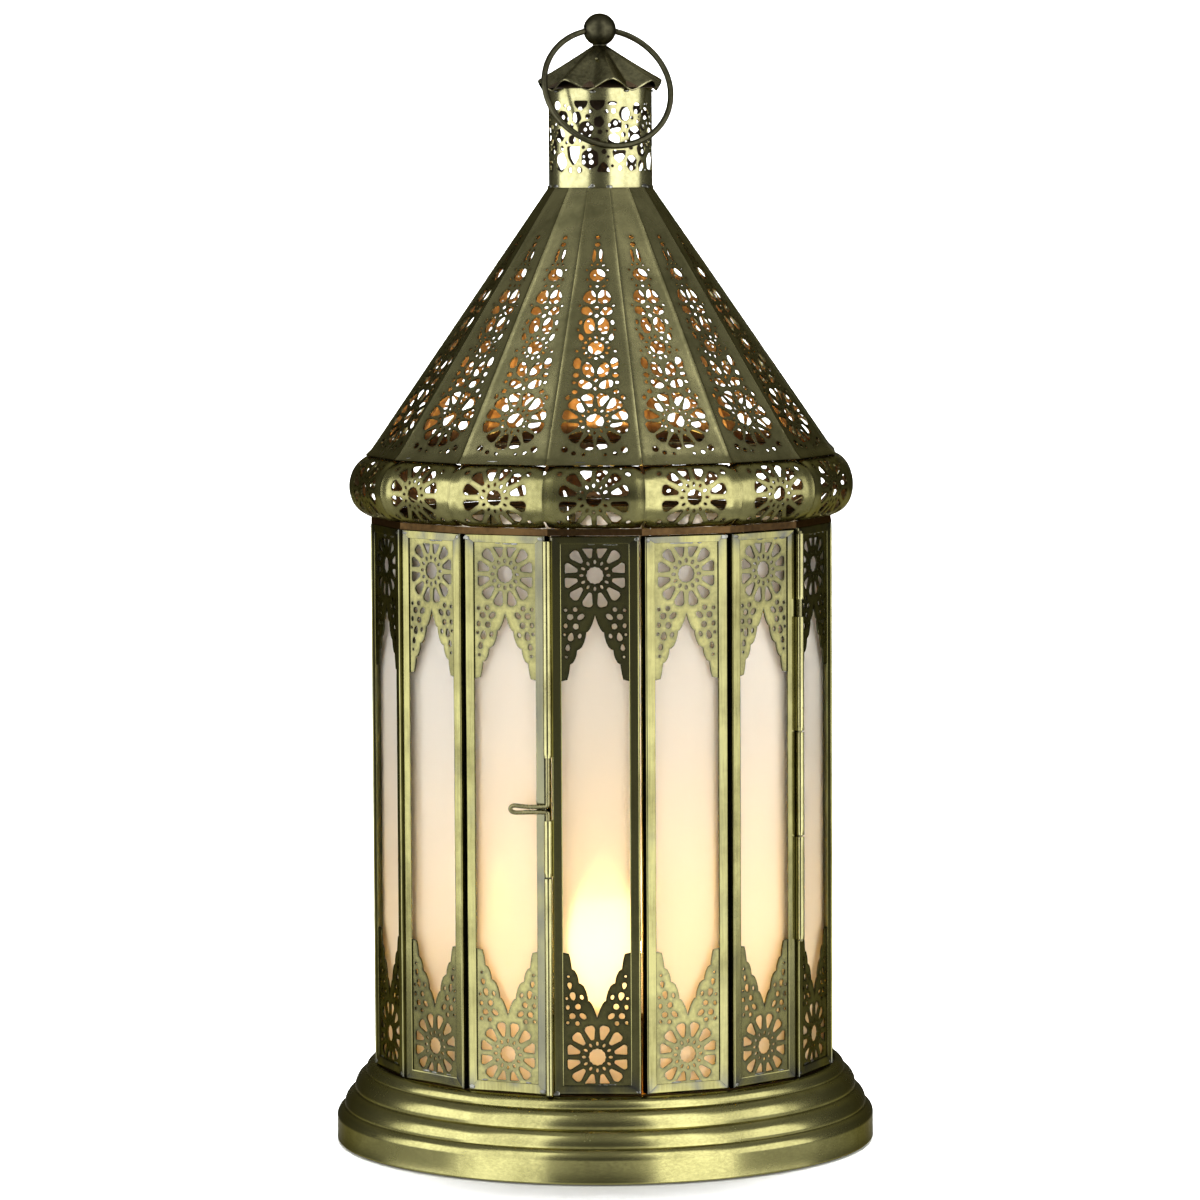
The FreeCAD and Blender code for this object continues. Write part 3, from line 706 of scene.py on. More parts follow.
def frame_parts(k, z0, z1):
    hb, ht = OPEN0 - z0, z1 - OPEN1
    parts = []
    seg = 26
    u = np.linspace(0, 1, seg + 1)[:, None]
    p, q = SEC[None, :, 0], SEC[None, :, 1]
    f = p / 4.6
    g = 0.06
    for side in (-1, 1):
        za = z0 + f * hb + g
        zb = z1 - f * ht - g
        z = za + (zb - za) * u
        wav = 0.6 * np.array([noise.noise(Vector((k * 7.3 + side, zz * 0.03, 1.7))) for zz in np.linspace(z0, z1, seg + 1)])[:, None]
        wav2 = np.array([noise.noise(Vector((k * 3.1 - side, zz * 0.02, 9.7))) for zz in np.linspace(z0, z1, seg + 1)])[:, None]
        env = np.sin(np.pi * np.clip(u, 0, 1)) ** 0.5
        x = side * (19.8 - p) - side * 0.12 * env * np.abs(wav2) * (p < 1.0)
        y = -APO + q + 0.14 * wav * env * (1 - np.clip(q / 6, 0, 1))
        P = np.stack(np.broadcast_arrays(x, y, z), -1).astype(float)
        v, qd = grid_mesh(P, False, True)
        if side < 0:
            qd = qd[:, ::-1]
        n = len(SEC)
        end = np.minimum(np.abs(v[:, 2] - z0), np.abs(z1 - v[:, 2]))
        nn = vnoise(np.stack([v[:, 0], v[:, 2], np.zeros(len(v))], 1), 0.11, 5.0 * k + side)
        gr = np.clip(1.05 - end / 7.5 + 0.9 * nn, 0, 1) * np.clip(1.4 - end / 14, 0, 1)
        gr = np.maximum(gr, np.clip(nn * 1.2 - 0.25, 0, 0.5))
        if k == 15 and side > 0:
            gr = np.maximum(gr, 0.78 + 0.2 * nn)
        if k in (1, 2) and side > 0:
            gr = np.maximum(gr, 0.25 + 0.3 * nn)
        # channel walls deeper than 0.9 mm into the groove between frames take the dark grey too: painted shade in the
        # groove
        gr = np.maximum(gr, 0.55 * np.clip((v[:, 1] + APO - 0.9) / 1.5, 0, 1))
        parts.append((rot_z(v, k * STEP), None, qd, np.clip(gr, 0, 1), n, side))
    for top in (0, 1):
        xa = -(19.8 - p) + g
        xb = (19.8 - p) - g
        uu = np.linspace(0, 1, 9)[:, None]
        x = xa + (xb - xa) * uu
        h = ht if top else hb
        z = (z1 - f * h) if top else (z0 + f * h)
        wav = np.array([noise.noise(Vector((k * 5.3 + top * 4, a * 3.0, 4.7))) for a in np.linspace(0, 1, 9)])[:, None]
        y = -APO + q + 0.12 * wav * np.sin(np.pi * uu) * (1 - np.clip(q / 6, 0, 1))
        z = z + 0 * uu
        P = np.stack(np.broadcast_arrays(x, y, z), -1).astype(float)
        v, qd = grid_mesh(P, False, True)
        if top:
            qd = qd[:, ::-1]
        nn = vnoise(np.stack([v[:, 0], v[:, 2], np.zeros(len(v))], 1), 0.13, 7.0 * k + 2 * top)
        gr = np.clip(np.abs(v[:, 0]) / 9.0 - 1.15 + 1.3 * nn, 0, 1)
        gr = np.maximum(gr, np.clip(0.35 + 1.5 * nn, 0, 0.8))
        parts.append((rot_z(v, k * STEP), None, qd, gr, len(SEC), -1 if not top else 1))
    return parts


# end caps of a strip are triangulated once from the section outline
_res = delaunay_2d_cdt([Vector((a, b)) for a, b in SEC], [(i, (i + 1) % len(SEC)) for i in range(len(SEC))], [], 1, 1e-6)
CAP_T = [tuple(f) for f in _res[2]]


def build_frame(name, k, z0, z1, body, node):
    vs, qs, ts, gs, off = [], [], [], [], 0
    for v, _t, qd, g_, n, flip in frame_parts(k, z0, z1):
        vs.append(v)
        gs.append(g_)
        qs.append(qd + off)
        last = len(v) - n
        for t in CAP_T:
            # sections are wound clockwise seen along the strip
            if flip > 0:
                ts.append([off + i for i in t])
                ts.append([off + last + i for i in reversed(t)])
            else:
                ts.append([off + i for i in reversed(t)])
                ts.append([off + last + i for i in t])
        off += len(v)
    ob = make(name, np.concatenate(vs), pack_faces(ts, np.concatenate(qs)), 32.0, np.concatenate(gs))
    bm = bmesh.new(); bm.from_mesh(ob.data)
    bmesh.ops.recalc_face_normals(bm, faces=bm.faces)
    bm.to_mesh(ob.data); bm.free()
    finish_piece(ob, M_FRAME, body, node, slot="antique_brass")
    return ob


for k in range(3, 16):
    build_frame("panel_frame_%02d" % k, k, ZB, ZT, "lantern", "frame_%02d" % k)
for k, sd in enumerate(("left", "middle", "right")):
    build_frame("door_panel_frame_" + sd, k, ZB + 0.5, ZT - 0.5, "door", "door_frame_" + sd)

# ======================================================================
# pierced arch plates
# ======================================================================
def arch_outline(ztop):
    # right half from the apex down, then up the hidden edge
    R = [(0.0, -17.9), (0.5, -19.6), (1.3, -21.9), (2.3, -24.0), (3.25, -25.3), (3.95, -25.55),
         (4.2, -27.6), (4.9, -30.0), (5.95, -32.2), (7.1, -33.2), (8.1, -33.6), (8.35, -35.6), (8.9, -37.4),
         (9.9, -39.2), (11.2, -40.0), (11.5, -42.2), (11.9, -44.6), (12.5, -46.9), (15.3, -47.5), (18.0, -47.6)]
    L = [(-x, y) for x, y in reversed(R[1:])]
    return L + R + [(18.0, ztop), (-18.0, ztop)]


ARCH_HOLES = rosette(0, 0, 3.75, 6.05, 8.0, 14.6, 13.4, 12.0, -14.6, w1=2.45)
for sx in (1, -1):
    for h in (circ(8.9, -15.3, 1.05), circ(13.2, -15.6, 0.75), rounded([(9.9, -17.4), (12.3, -17.3), (12.6, -19.3), (11.2, -20.2), (9.7, -19.3)], 0.9, 3),
              oval(6.4, -18.6, 1.75, 1.15, -38, 16), rounded([(7.4, -21.8), (9.4, -21.5), (10.1, -23.2), (8.9, -24.4), (7.4, -23.8)], 0.9, 3),
              oval(13.2, -22.6, 0.85, 1.1, 0, 12), oval(10.9, -27.6, 1.25, 1.9, 12, 16, 0.3), circ(13.7, -26.6, 0.65),
              oval(6.9, -27.2, 0.8, 1.1, 20, 12), oval(12.3, -32.4, 0.95, 1.5, 8, 14, 0.3), circ(12.9, -36.6, 0.6)):
        q = h.copy(); q[:, 0] *= sx
        ARCH_HOLES.append(q)


def plate_set(zc, sgn, ztop):
    out = np.array([(x, y) for x, y in arch_outline(ztop)])
    V2, T, dist = triangulate(out, ARCH_HOLES, 2.0, 0.45)
    if sgn < 0:
        V2 = V2 * np.array([1, -1])
        T = T[:, ::-1]
    return V2, T, dist


UPP = plate_set(272.6, 1, 289.2 - 272.6)
LOW = plate_set(55.1, -1, 55.1 - 38.8)


def plate_copies(ks, which):
    parts = []
    for k in ks:
        for (V2, T, dist), zc, tag in ((UPP, 272.6, 0), (LOW, 55.1, 1)):
            if which is not None and tag != which:
                continue
            def place(P, d, zc=zc, k=k, tag=tag):
                w = 0.22 * vnoise(np.stack([P[:, 0], P[:, 1], np.zeros(len(P))], 1), 0.07, 3.0 * k + 11 * tag)
                w = w * np.clip(1 - (np.abs(P[:, 0]) - 11) / 4, 0, 1)
                bow = (0.10 + 0.14 * abs(noise.noise(Vector((k * 1.7, tag * 3.3, 0.4))))) * np.clip(1 - (P[:, 0] / 15.0) ** 2, 0, 1)
                return np.stack([P[:, 0], -APO + 0.66 + d + 0.5 * w - bow, zc + P[:, 1]], 1)
            v, t, q, r = solid_sheet(V2, T, dist, place, 0.7, 0.0, 0.0)
            nn = vnoise(v, 0.10, 4.0 * k + tag)
            # the mask also rises toward the plate's outer sides past 8.5 mm, with noise: painted shade, the plates
            # darker at their sides than in the middle
            r = np.clip(np.maximum(r, 0.5 * np.clip((np.abs(v[:, 0]) - 8.5) / 7.5 + 0.7 * nn, 0, 1)), 0, 1)
            parts.append((rot_z(v, k * STEP), t, q, r))
    return parts


finish_piece(copies("upper_pierced_plates", plate_copies(range(3, 16), 0)), M_PLATE, "lantern", "upper_arch_plates", slot="antique_brass")
finish_piece(copies("lower_pierced_plates", plate_copies(range(3, 16), 1)), M_PLATE, "lantern", "lower_arch_plates", slot="antique_brass")
finish_piece(copies("door_pierced_plates", plate_copies(range(3), None)), M_PLATE, "door", "door_arch_plates", slot="antique_brass")

# ======================================================================
# glass
# ======================================================================
for k in range(3, 16):
    cad_mat("glass_%02d" % k, M_GLASS)
for sd in ("left", "middle", "right"):
    cad_mat("door_glass_" + sd, M_GLASS)

# ======================================================================
# base
# ======================================================================
prof = [(98.0, 35.5), (98.0, 36.5), (106.6, 36.5)]
prof += arc3((107.4, 37.05), (108.3, 37.35), (109.3, 37.1), 6)
prof += arc3((109.35, 37.08), (111.7, 35.4), (112.5, 32.5), 10)
prof += [(112.42, 32.35), (112.62, 32.2)]
prof += arc3((112.9, 32.25), (116.46, 29.17), (117.5, 24.1), 14)
prof += [(117.42, 23.95), (117.62, 23.8)]
prof += arc3((117.9, 23.85), (121.26, 21.07), (122.5, 16.4), 14)
prof += [(122.42, 16.25), (122.62, 16.1)]
prof += arc3((122.9, 16.15), (125.31, 14.1), (125.94, 10.5), 12)
prof += [(125.95, 10.4), (125.99, 6.0), (125.97, 1.6)]
prof += arc3((126.0, 1.4), (125.75, 0.8), (125.1, 0.5), 5)
prof += [(125.1, 0.5), (125.1, 9.8)] + arc3((125.1, 9.8), (124.45, 13.4), (121.6, 15.7), 6)
prof += arc3((121.6, 15.7), (120.36, 20.37), (116.6, 23.4), 6) + arc3((116.6, 23.4), (115.56, 28.47), (111.6, 31.8), 6)
prof += [(111.6, 31.8), (109.6, 35.5)]
prof = prof[::-1]


def base_wob(t, r, z):
    # the rim of the turned base is never perfectly true
    a = 0.10 * np.sin(3 * t + 0.4) + 0.06 * np.sin(7 * t + 1.9)
    return a * np.clip((z - 12) / 20, 0, 1) * (r > 107)


base = lathe("spun_base", prof, 288, wob=base_wob, smooth=28)
bm = bmesh.new(); bm.from_mesh(base.data); bmesh.ops.recalc_face_normals(bm, faces=bm.faces); bm.to_mesh(base.data); bm.free()
# hole for the cable inlet
cut_me = bpy.data.meshes.new("inlet_cutter")
bm = bmesh.new()
bmesh.ops.create_cone(bm, cap_ends=True, segments=40, radius1=4.0 * MM, radius2=4.0 * MM, depth=10 * MM,
                      matrix=Matrix.Translation((0, 0.125, 0.007)) @ Matrix.Rotation(math.radians(90), 4, "X"))
bm.to_mesh(cut_me); bm.free()
cutter = bpy.data.objects.new("inlet_cutter", cut_me)
scene.collection.objects.link(cutter)
mod = base.modifiers.new("inlet", "BOOLEAN"); mod.object = cutter; mod.solver = "EXACT"
bpy.context.view_layer.update()
dg = bpy.context.evaluated_depsgraph_get()
me = bpy.data.meshes.new_from_object(base.evaluated_get(dg))
base.modifiers.clear(); base.data = me
bpy.data.objects.remove(cutter)
base.data.set_sharp_from_angle(angle=math.radians(28))
finish_piece(base, M_BASE, "lantern", "base_shell", slot="antique_brass")
cad_mat("base_bottom_plate", M_ZINC)
cad_mat("base_felt_pad", M_FELT)
cad_mat("cable_grommet", M_RUBBER)
cad_mat("floor_plate", M_INNER)
cad_mat("hex_nuts", M_ZINC)
cad_mat("lampholder_nipple", M_ZINC)
cad_mat("bulb_cap", M_ZINC)
cad_mat("top_ring", M_INNER)
cad_mat("eave_ring", M_INNER)

# lampholder with ribs, and its ring
hp = [(13.8, 40.5), (13.8, 43.0), (13.2, 43.6), (13.2, 44.4), (13.8, 45.0), (13.8, 52.0), (13.4, 52.5), (13.4, 58.5), (13.8, 59.2),
      (13.6, 59.9), (9.0, 60.0), (8.6, 59.6), (8.6, 45.0), (5.05, 45.0), (5.05, 40.5)]
finish_piece(lathe("candle_holder", hp, 96, wob=lambda t, r, z: -0.22 * (np.cos(36 * t) > 0.2) * ((z > 44.9) & (z < 52.2) & (r > 13))),
             M_RESIN, "lantern", "lampholder_body", slot="black_resin")
rp_ = [(13.85, 53.0), (15.6, 53.0), (16.3, 53.5), (16.4, 55.2), (16.3, 57.0), (15.7, 57.5), (13.85, 57.5)]
finish_piece(lathe("holder_ring", rp_, 96, wob=lambda t, r, z: -0.35 * (np.cos(24 * t) > 0.3) * (r > 16)),
             M_RESIN, "lantern", "lampholder_ring", slot="black_resin")
bz = [(0.05, 133.55), (1.2, 133.3), (2.4, 132.4), (3.8, 130.6), (5.2, 128.2), (6.8, 125.2), (8.8, 121.4), (10.8, 117.2), (12.8, 112.6),
      (14.6, 107.6), (16.0, 102.0), (16.9, 96.6), (17.3, 91.4), (17.3, 87.0), (16.9, 82.0), (15.9, 76.6), (14.5, 71.6),
      (13.1, 67.2), (12.2, 63.6), (11.5, 61.2), (0.05, 61.1)]
finish_piece(lathe("candle_bulb", bz[::-1], 64, closed=False, smooth=60), M_BULB, "lantern", "bulb_glass", slot="opal_bulb")

# ======================================================================
# cornice band: sixteen bulged lobes
# ======================================================================
BZ0, BZ1, BA, BB = 293.4, 321.6, 105.4, 11.3
bzc, bhz = (BZ0 + BZ1) / 2, (BZ1 - BZ0) / 2
_t = np.linspace(-math.pi / 2, math.pi / 2, 401)
_px, _pz = BA + BB * np.cos(_t), bzc + bhz * np.sin(_t)
_s = np.concatenate([[0], np.cumsum(np.hypot(np.diff(_px), np.diff(_pz)))])
_s -= _s[-1] / 2
S_MAX = _s[-1]


def band_place(P, d, k=0):
    t = np.interp(P[:, 1], _s, _t)
    nx, nz = np.cos(t) * bhz, np.sin(t) * BB
    nl = np.hypot(nx, nz)
    nx, nz = nx / nl, nz / nl
    apo = BA + BB * np.cos(t)
    z = bzc + bhz * np.sin(t)
    x = P[:, 0]
    hw = apo * TANH
    gap = np.maximum(hw - np.abs(x), 0)
    e = np.clip(gap / 5.5, 0, 1)
    a = np.abs(P[:, 1]) / S_MAX
    # soft crease between two lobes, pinched in toward the slits
    depth = 0.35 + 0.75 * np.clip((a - 0.35) / 0.5, 0, 1) ** 2 * np.clip((1.02 - a) / 0.2, 0, 1)
    draw = depth * (0.5 + 0.5 * np.cos(np.pi * e))
    nz_ = 0.18 * vnoise(np.stack([x, P[:, 1], np.zeros(len(P))], 1), 0.08, k * 2.3) * np.clip(gap / 4, 0, 1)
    dd = d + draw + np.maximum(nz_ + 0.1, 0) - 0.4 * np.clip(1 - (x / hw) ** 2, 0, 1) * np.cos(np.clip(a, 0, 1) * math.pi / 2)
    return np.stack([x, -(apo - nx * dd), z - nz * dd], 1)


SLIT = S_MAX - 8.2


def band_hw(s):
    return (BA + BB * math.cos(float(np.interp(s, _s, _t)))) * TANH


def band_outline():
    # the crease edge, with a slit cut into it at top and bottom
    ss = np.concatenate([np.linspace(-S_MAX, -SLIT - 0.4, 22), np.linspace(-SLIT, SLIT, 40), np.linspace(SLIT + 0.4, S_MAX, 22)])
    pts = []
    for s_ in ss:
        slit = 0.0
        if abs(s_) > SLIT:
            slit = 0.85 * min(1.0, ((abs(s_) - SLIT) / 1.0) ** 0.5)
        pts.append((band_hw(s_) - slit, s_))
    left = [(-x, s_) for x, s_ in reversed(pts)]
    return np.array(pts + left)


bh = rosette(0, 0, 3.45, 6.0, 7.9, 15.8, 15.9, 15.2, -15.2, w1=2.75)
for sx in (1, -1):
    for sy in (1, -1):
        for h in (oval(15.2, 11.9, 1.1, 1.45, 30, 14), circ(12.0, 16.1, 0.95), oval(8.0, 17.5, 1.0, 0.75, 0, 12), oval(2.7, 17.6, 1.1, 0.7, 0, 12)):
            q = h.copy(); q[:, 0] *= sx; q[:, 1] *= sy
            bh.append(q)
ex = []
for s_ in np.linspace(-S_MAX + 0.8, S_MAX - 0.8, 30):
    for g in (0.7, 1.5, 2.4, 3.4, 4.5, 5.6):
        ex += [(band_hw(s_) - g, s_), (-band_hw(s_) + g, s_)]
BV, BT, BD = triangulate(band_outline(), bh, 1.7, 0.45, ex)
bhw = np.array([band_hw(v) for v in BV[:, 1]])
BJ = (np.abs(np.abs(BV[:, 0]) - bhw) < 1e-3) & (np.abs(BV[:, 1]) <= SLIT + 0.05)
parts = []
for k in range(SIDES):
    v, t, q, r = solid_sheet(BV, BT, np.where(BJ, 9.0, BD), lambda P, d, k=k: band_place(P, d, k), 0.75, 0.0, 0.0, BJ)
    parts.append((rot_z(v, k * STEP), t, q, r))
finish_piece(copies("pierced_cornice", parts, 40, M_BANDIN, True), M_BAND, "lantern", "cornice_band", slot="antique_brass")

# ======================================================================
# roof
# ======================================================================
RA0, RZ0, RA1, RZ1 = 107.3, 322.85, 24.1, 445.0
SL = math.hypot(RA0 - RA1, RZ1 - RZ0)
UX, UZ = (RA0 - RA1) / SL, (RZ1 - RZ0) / SL


def roof_place(P, d, k=0):
    x, s = P[:, 0], P[:, 1]
    apo = RA0 - s * UX
    hw = apo * TANH
    gap = np.maximum(hw - np.abs(x), 0)
    e = np.clip(gap / np.minimum(1.7, hw * 0.45), 0, 1)
    dd = d - 0.24 * (1 - e) ** 2 * np.clip(hw / 10, 0.35, 1) + 0.1
    # gentle waviness of the beaten sheet, none at the creases
    w = 0.34 * vnoise(np.stack([x, s, np.zeros(len(P))], 1), 0.04, k * 1.9 + 5) * np.clip(gap / 5, 0, 1)
    dd = dd + np.maximum(w, -0.08) * np.clip(s / 8, 0, 1) * np.clip((SL - s) / 8, 0, 1)
    # lip: the last millimetres turn outwards a little
    lip = np.clip((3.0 - s) / 3.0, 0, 1) ** 2 * 0.9
    return np.stack([x, -apo + dd * UZ - lip, RZ0 + s * UZ - dd * UX], 1)


hw0, hw1 = RA0 * TANH, RA1 * TANH
r_out = []
for sg in (1, -1):
    ss = np.linspace(-0.9, SL, 101)
    side = [(sg * (RA0 - s_ * UX) * TANH, s_) for s_ in (ss if sg > 0 else ss[::-1])]
    r_out += side
rh = rosette(0, 22.1, 3.75, 6.1, 7.9, 14.9, w1=3.0)


def grow(hs, web, steps, keep=lambda q: True, small=0.0):
    hs = [np.array(h) for h in hs]
    order = sorted(range(len(hs)), key=lambda i: -abs(area2(hs[i])))
    for i in order:
        h = hs[i]
        if abs(area2(h)) < small:
            continue
        c = h.mean(0)
        near = [g for j, g in enumerate(hs) if j != i and np.hypot(*(g.mean(0) - c)) < 16]
        for sc in steps:
            q = c + (h - c) * sc
            if keep(q) and (not near or (seg_dist(q, near).min() > web and not any(inside(q, g).any() for g in near))):
                hs[i] = q
                break
    return hs


def sym(*hs):
    for h in hs:
        h = np.array(h)
        rh.append(h)
        q = h.copy(); q[:, 0] *= -1
        rh.append(q)


sym(circ(13.3, 7.2, 1.35), circ(9.3, 5.2, 0.95), circ(4.9, 4.5, 0.7), circ(9.3, 37.6, 1.05), oval(12.4, 34.6, 0.8, 1.15, 20, 12),
    rounded([(1.7, 40.4), (3.9, 39.2), (7.2, 40.4), (7.5, 43.3), (5.4, 44.0), (2.7, 42.6)], 1.1, 3),
    circ(9.7, 42.6, 0.85), circ(8.9, 46.4, 1.2), rounded([(1.0, 46.4), (3.0, 45.2), (5.6, 47.4), (5.9, 51.0), (4.4, 53.2), (2.6, 52.4), (1.1, 49.4)], 1.3, 3),
    rounded([(7.1, 50.0), (9.2, 49.4), (10.4, 52.0), (9.6, 55.4), (7.7, 56.1), (6.5, 53.8)], 1.1, 3), circ(8.7, 59.2, 0.6, 10),
    oval(6.9, 66.8, 1.0, 1.9, -14, 14, 0.2), circ(8.3, 70.6, 0.55, 10),
    rounded([(1.0, 71.2), (2.5, 69.0), (4.5, 68.9), (5.6, 72.0), (4.9, 75.4), (2.9, 77.0), (1.1, 75.0)], 1.2, 3), oval(7.2, 74.6, 0.75, 1.4, 10, 12),
    rounded([(1.7, 79.6), (4.0, 78.4), (6.8, 79.6), (6.3, 82.6), (3.6, 82.8)], 1.1, 3), circ(7.6, 83.6, 0.5, 10),
    rounded([(0.8, 85.8), (2.6, 84.6), (5.6, 85.8), (6.0, 88.4), (4.4, 91.2), (2.3, 92.0), (0.9, 89.8)], 1.2, 3),
    circ(3.1, 94.2, 0.6, 10), circ(4.5, 97.6, 0.5, 10), circ(4.7, 102.9, 0.45, 10),
    oval(1.55, 110.6, 0.62, 3.2, 3, 18), circ(2.6, 105.6, 0.55, 10))
rh += [rounded([(0, 38.2), (1.0, 39.4), (0, 40.6), (-1.0, 39.4)], 0.3, 2), rounded([(0, 42.7), (1.0, 43.9), (0, 45.0), (-1.0, 43.9)], 0.3, 2),
       circ(0, 61.0, 3.6, 40, 0.03, 12), rounded([(0, 77.0), (0.95, 78.1), (0, 79.2), (-0.95, 78.1)], 0.3, 2), circ(0, 82.3, 0.95),
       circ(0, 94.1, 0.6, 10), circ(0, 100.2, 3.5, 36, 0.02, 12), circ(0, 105.9, 0.55, 10), circ(0, 116.6, 1.1), circ(0, 120.5, 0.95)]
for i in range(12):
    a = math.radians(30 * i)
    rh.append(oval(5.6 * math.cos(a), 61.0 + 5.6 * math.sin(a), 0.8, 0.66, 30 * i, 10))
def in_facet(q):
    return bool(np.all(np.abs(q[:, 0]) < (RA0 - q[:, 1] * UX) * TANH - 2.6) and q[:, 1].min() > 2.4)


rh = grow(rh, 0.98, (1.16, 1.1, 1.05), in_facet)
ex = []
for s_ in np.linspace(0.6, SL - 1.0, 70):
    hwx = (RA0 - s_ * UX) * TANH
    for g in (0.5, 1.1, 1.8, 2.7, 3.7, 4.8):
        if g < hwx * 0.8:
            ex += [(hwx - g, s_), (-hwx + g, s_)]
RV, RT, RD = triangulate(np.array(r_out), rh, 2.8, 0.45, ex)
rhw = (RA0 - RV[:, 1] * UX) * TANH
RJ = np.abs(np.abs(RV[:, 0]) - rhw) < 1e-3
parts = []
for k in range(SIDES):
    v, t, q, r = solid_sheet(RV, RT, np.where(RJ, 9.0, RD), lambda P, d, k=k: roof_place(P, d, k), 0.7, 0.0, 0.0, RJ)
    parts.append((rot_z(v, k * STEP), t, q, r))
finish_piece(copies("pierced_roof", parts, 40, M_BACK, True), M_ROOF, "lantern", "roof_panels", slot="roof_brass")

# ======================================================================
# chimney collar: one rolled sheet with scattered holes
# ======================================================================
CR = 24.6
CIRC = 2 * math.pi * CR
rng = np.random.default_rng(7)
# one motif of the collar, repeated three times: (angle, height, width, height, kind)
MOTIF = [(-53.7, 482.7, 4.6, 3.5, "b"), (-19.9, 482.6, 6.1, 3.8, "t"), (-1.0, 482.6, 6.4, 4.0, "t"), (15.6, 483.7, 3.8, 1.5, "o"),
         (30.3, 478.9, 5.2, 5.8, "b"), (47.0, 481.2, 4.8, 4.6, "b"), (61.0, 478.9, 5.6, 4.7, "b"), (-44.1, 476.6, 5.2, 5.2, "b"),
         (-24.7, 477.2, 4.1, 4.6, "b"), (0.4, 475.1, 4.4, 4.6, "b"), (18.8, 473.4, 6.0, 5.5, "b"), (-14.3, 471.7, 6.1, 6.3, "b"),
         (43.4, 469.3, 6.4, 5.8, "b"), (-48.6, 469.0, 5.6, 5.2, "b"), (-31.0, 467.0, 3.3, 3.5, "b"), (-3.1, 466.4, 3.5, 2.4, "o"),
         (17.4, 467.0, 5.9, 4.6, "b"), (-61.0, 463.8, 5.2, 5.8, "b"), (-29.4, 459.5, 6.0, 7.4, "d"), (-10.1, 458.3, 6.4, 7.4, "b"),
         (-47.1, 456.6, 5.6, 7.0, "b"), (23.3, 459.2, 5.9, 4.9, "d"), (5.3, 454.6, 6.3, 5.0, "u"), (38.8, 456.3, 5.3, 6.3, "b"),
         (53.5, 462.5, 4.2, 4.6, "b"), (-33.1, 453.1, 1.7, 2.3, "o"), (-21.6, 453.1, 2.1, 2.3, "o"), (53.0, 455.0, 3.6, 4.8, "b"),
         (-35.1, 481.3, 1.9, 1.9, "o"), (17.1, 480.1, 1.9, 1.9, "o"), (-11.9, 477.6, 1.9, 1.9, "o"), (1.5, 470.5, 1.8, 1.8, "o"),
         (32.8, 473.1, 1.8, 1.8, "o"), (28.7, 469.3, 1.8, 1.8, "o"), (-31.4, 473.1, 1.9, 1.9, "o"), (-45.1, 463.1, 1.9, 1.9, "o"),
         (6.0, 461.5, 1.9, 1.9, "o"), (24.4, 453.9, 1.8, 1.8, "o"), (-8.7, 453.1, 1.8, 1.8, "o"), (56.0, 472.5, 2.6, 2.8, "o"), (38.0, 463.6, 2.2, 2.2, "o")]
ch = []
for rep_ in range(3):
    for (an, zz, w_, h_, kd) in MOTIF:
        u = ((math.radians(an + 120 * rep_) - math.pi) % (2 * math.pi)) * CR
        if u < 4.6 + w_ / 2 or u > CIRC - 1.6 - w_ / 2:
            continue
        zz = min(484.9 - h_ / 2, max(451.3 + h_ / 2, zz))
        if kd == "o":
            h = oval(u, zz, w_ / 2, h_ / 2, 0, 14)
        elif kd in ("t", "d"):
            a_, b_ = w_ / 2, h_ / 2
            h = rounded([(u - a_, zz + b_), (u + a_, zz + b_), (u + a_ * 0.75, zz - b_ * 0.2), (u, zz - b_), (u - a_ * 0.75, zz - b_ * 0.2)], 1.0, 3)
        elif kd == "u":
            a_, b_ = w_ / 2, h_ / 2
            h = rounded([(u - a_, zz - b_), (u - a_ * 0.7, zz + b_ * 0.2), (u, zz + b_), (u + a_ * 0.7, zz + b_ * 0.2), (u + a_, zz - b_)], 1.0, 3)
        else:
            nv = int(rng.integers(5, 7))
            a0 = rng.uniform(0, 6.28)
            h = rounded([(u + w_ * 0.66 * rng.uniform(0.92, 1.06) * math.cos(a0 + 2 * math.pi * j / nv),
                          zz + h_ * 0.66 * rng.uniform(0.92, 1.06) * math.sin(a0 + 2 * math.pi * j / nv)) for j in range(nv)], 1.15, 4)
        if h[:, 1].max() > 484.9 or h[:, 1].min() < 451.2:
            h[:, 1] = np.clip(h[:, 1], 451.2, 484.9)
        # shrink until it stands clear of its neighbours
        c_ = h.mean(0)
        for sc in (1.0, 0.94, 0.88, 0.82, 0.76, 0.7, 0.64, 0.58):
            q = c_ + (h - c_) * sc
            if not ch or (seg_dist(q, ch).min() > 0.52 and not any(inside(q, g).any() or inside(c_[None], g)[0] for g in ch)):
                ch.append(q)
                break
def in_collar(q):
    return bool(q[:, 1].min() > 451.0 and q[:, 1].max() < 485.2 and q[:, 0].min() > 3.6 and q[:, 0].max() < CIRC - 1.2)


ch = grow(ch, 0.8, (1.25, 1.18, 1.12, 1.06), in_collar)
for _ in range(1500):
    u, zz = rng.uniform(4.8, CIRC - 2), rng.uniform(452.4, 483.8)
    rr = rng.uniform(0.6, 1.15)
    P = np.array([(u, zz)])
    if seg_dist(P, ch)[0] > rr + 0.62 and not any(inside(P, h)[0] for h in ch):
        ch.append(circ(u, zz, rr, 12))
c_out = [(0.0, 445.0), (CIRC, 445.0), (CIRC, 490.5), (0.0, 490.5)]
CV, CT, CD = triangulate(np.array(c_out), ch, 1.8, 0.4)
# the ends of the sheet meet at the back: overlapping seam


def chim_place(P, d):
    a = P[:, 0] / CR + math.pi            # u = 0 is at the back
    lap = np.clip(1 - P[:, 0] / 3.0, 0, 1) * 0.35
    w = 0.16 * np.sin(3 * a + 1.0) + 0.10 * np.sin(5 * a + P[:, 1] * 0.05)
    r = CR - 0.18 - d - w * 0.6 - 0.35 + lap
    return np.stack([r * np.sin(a), -r * np.cos(a), P[:, 1] + 0.12 * np.sin(2 * a + 1) * (P[:, 1] > 488)], 1)


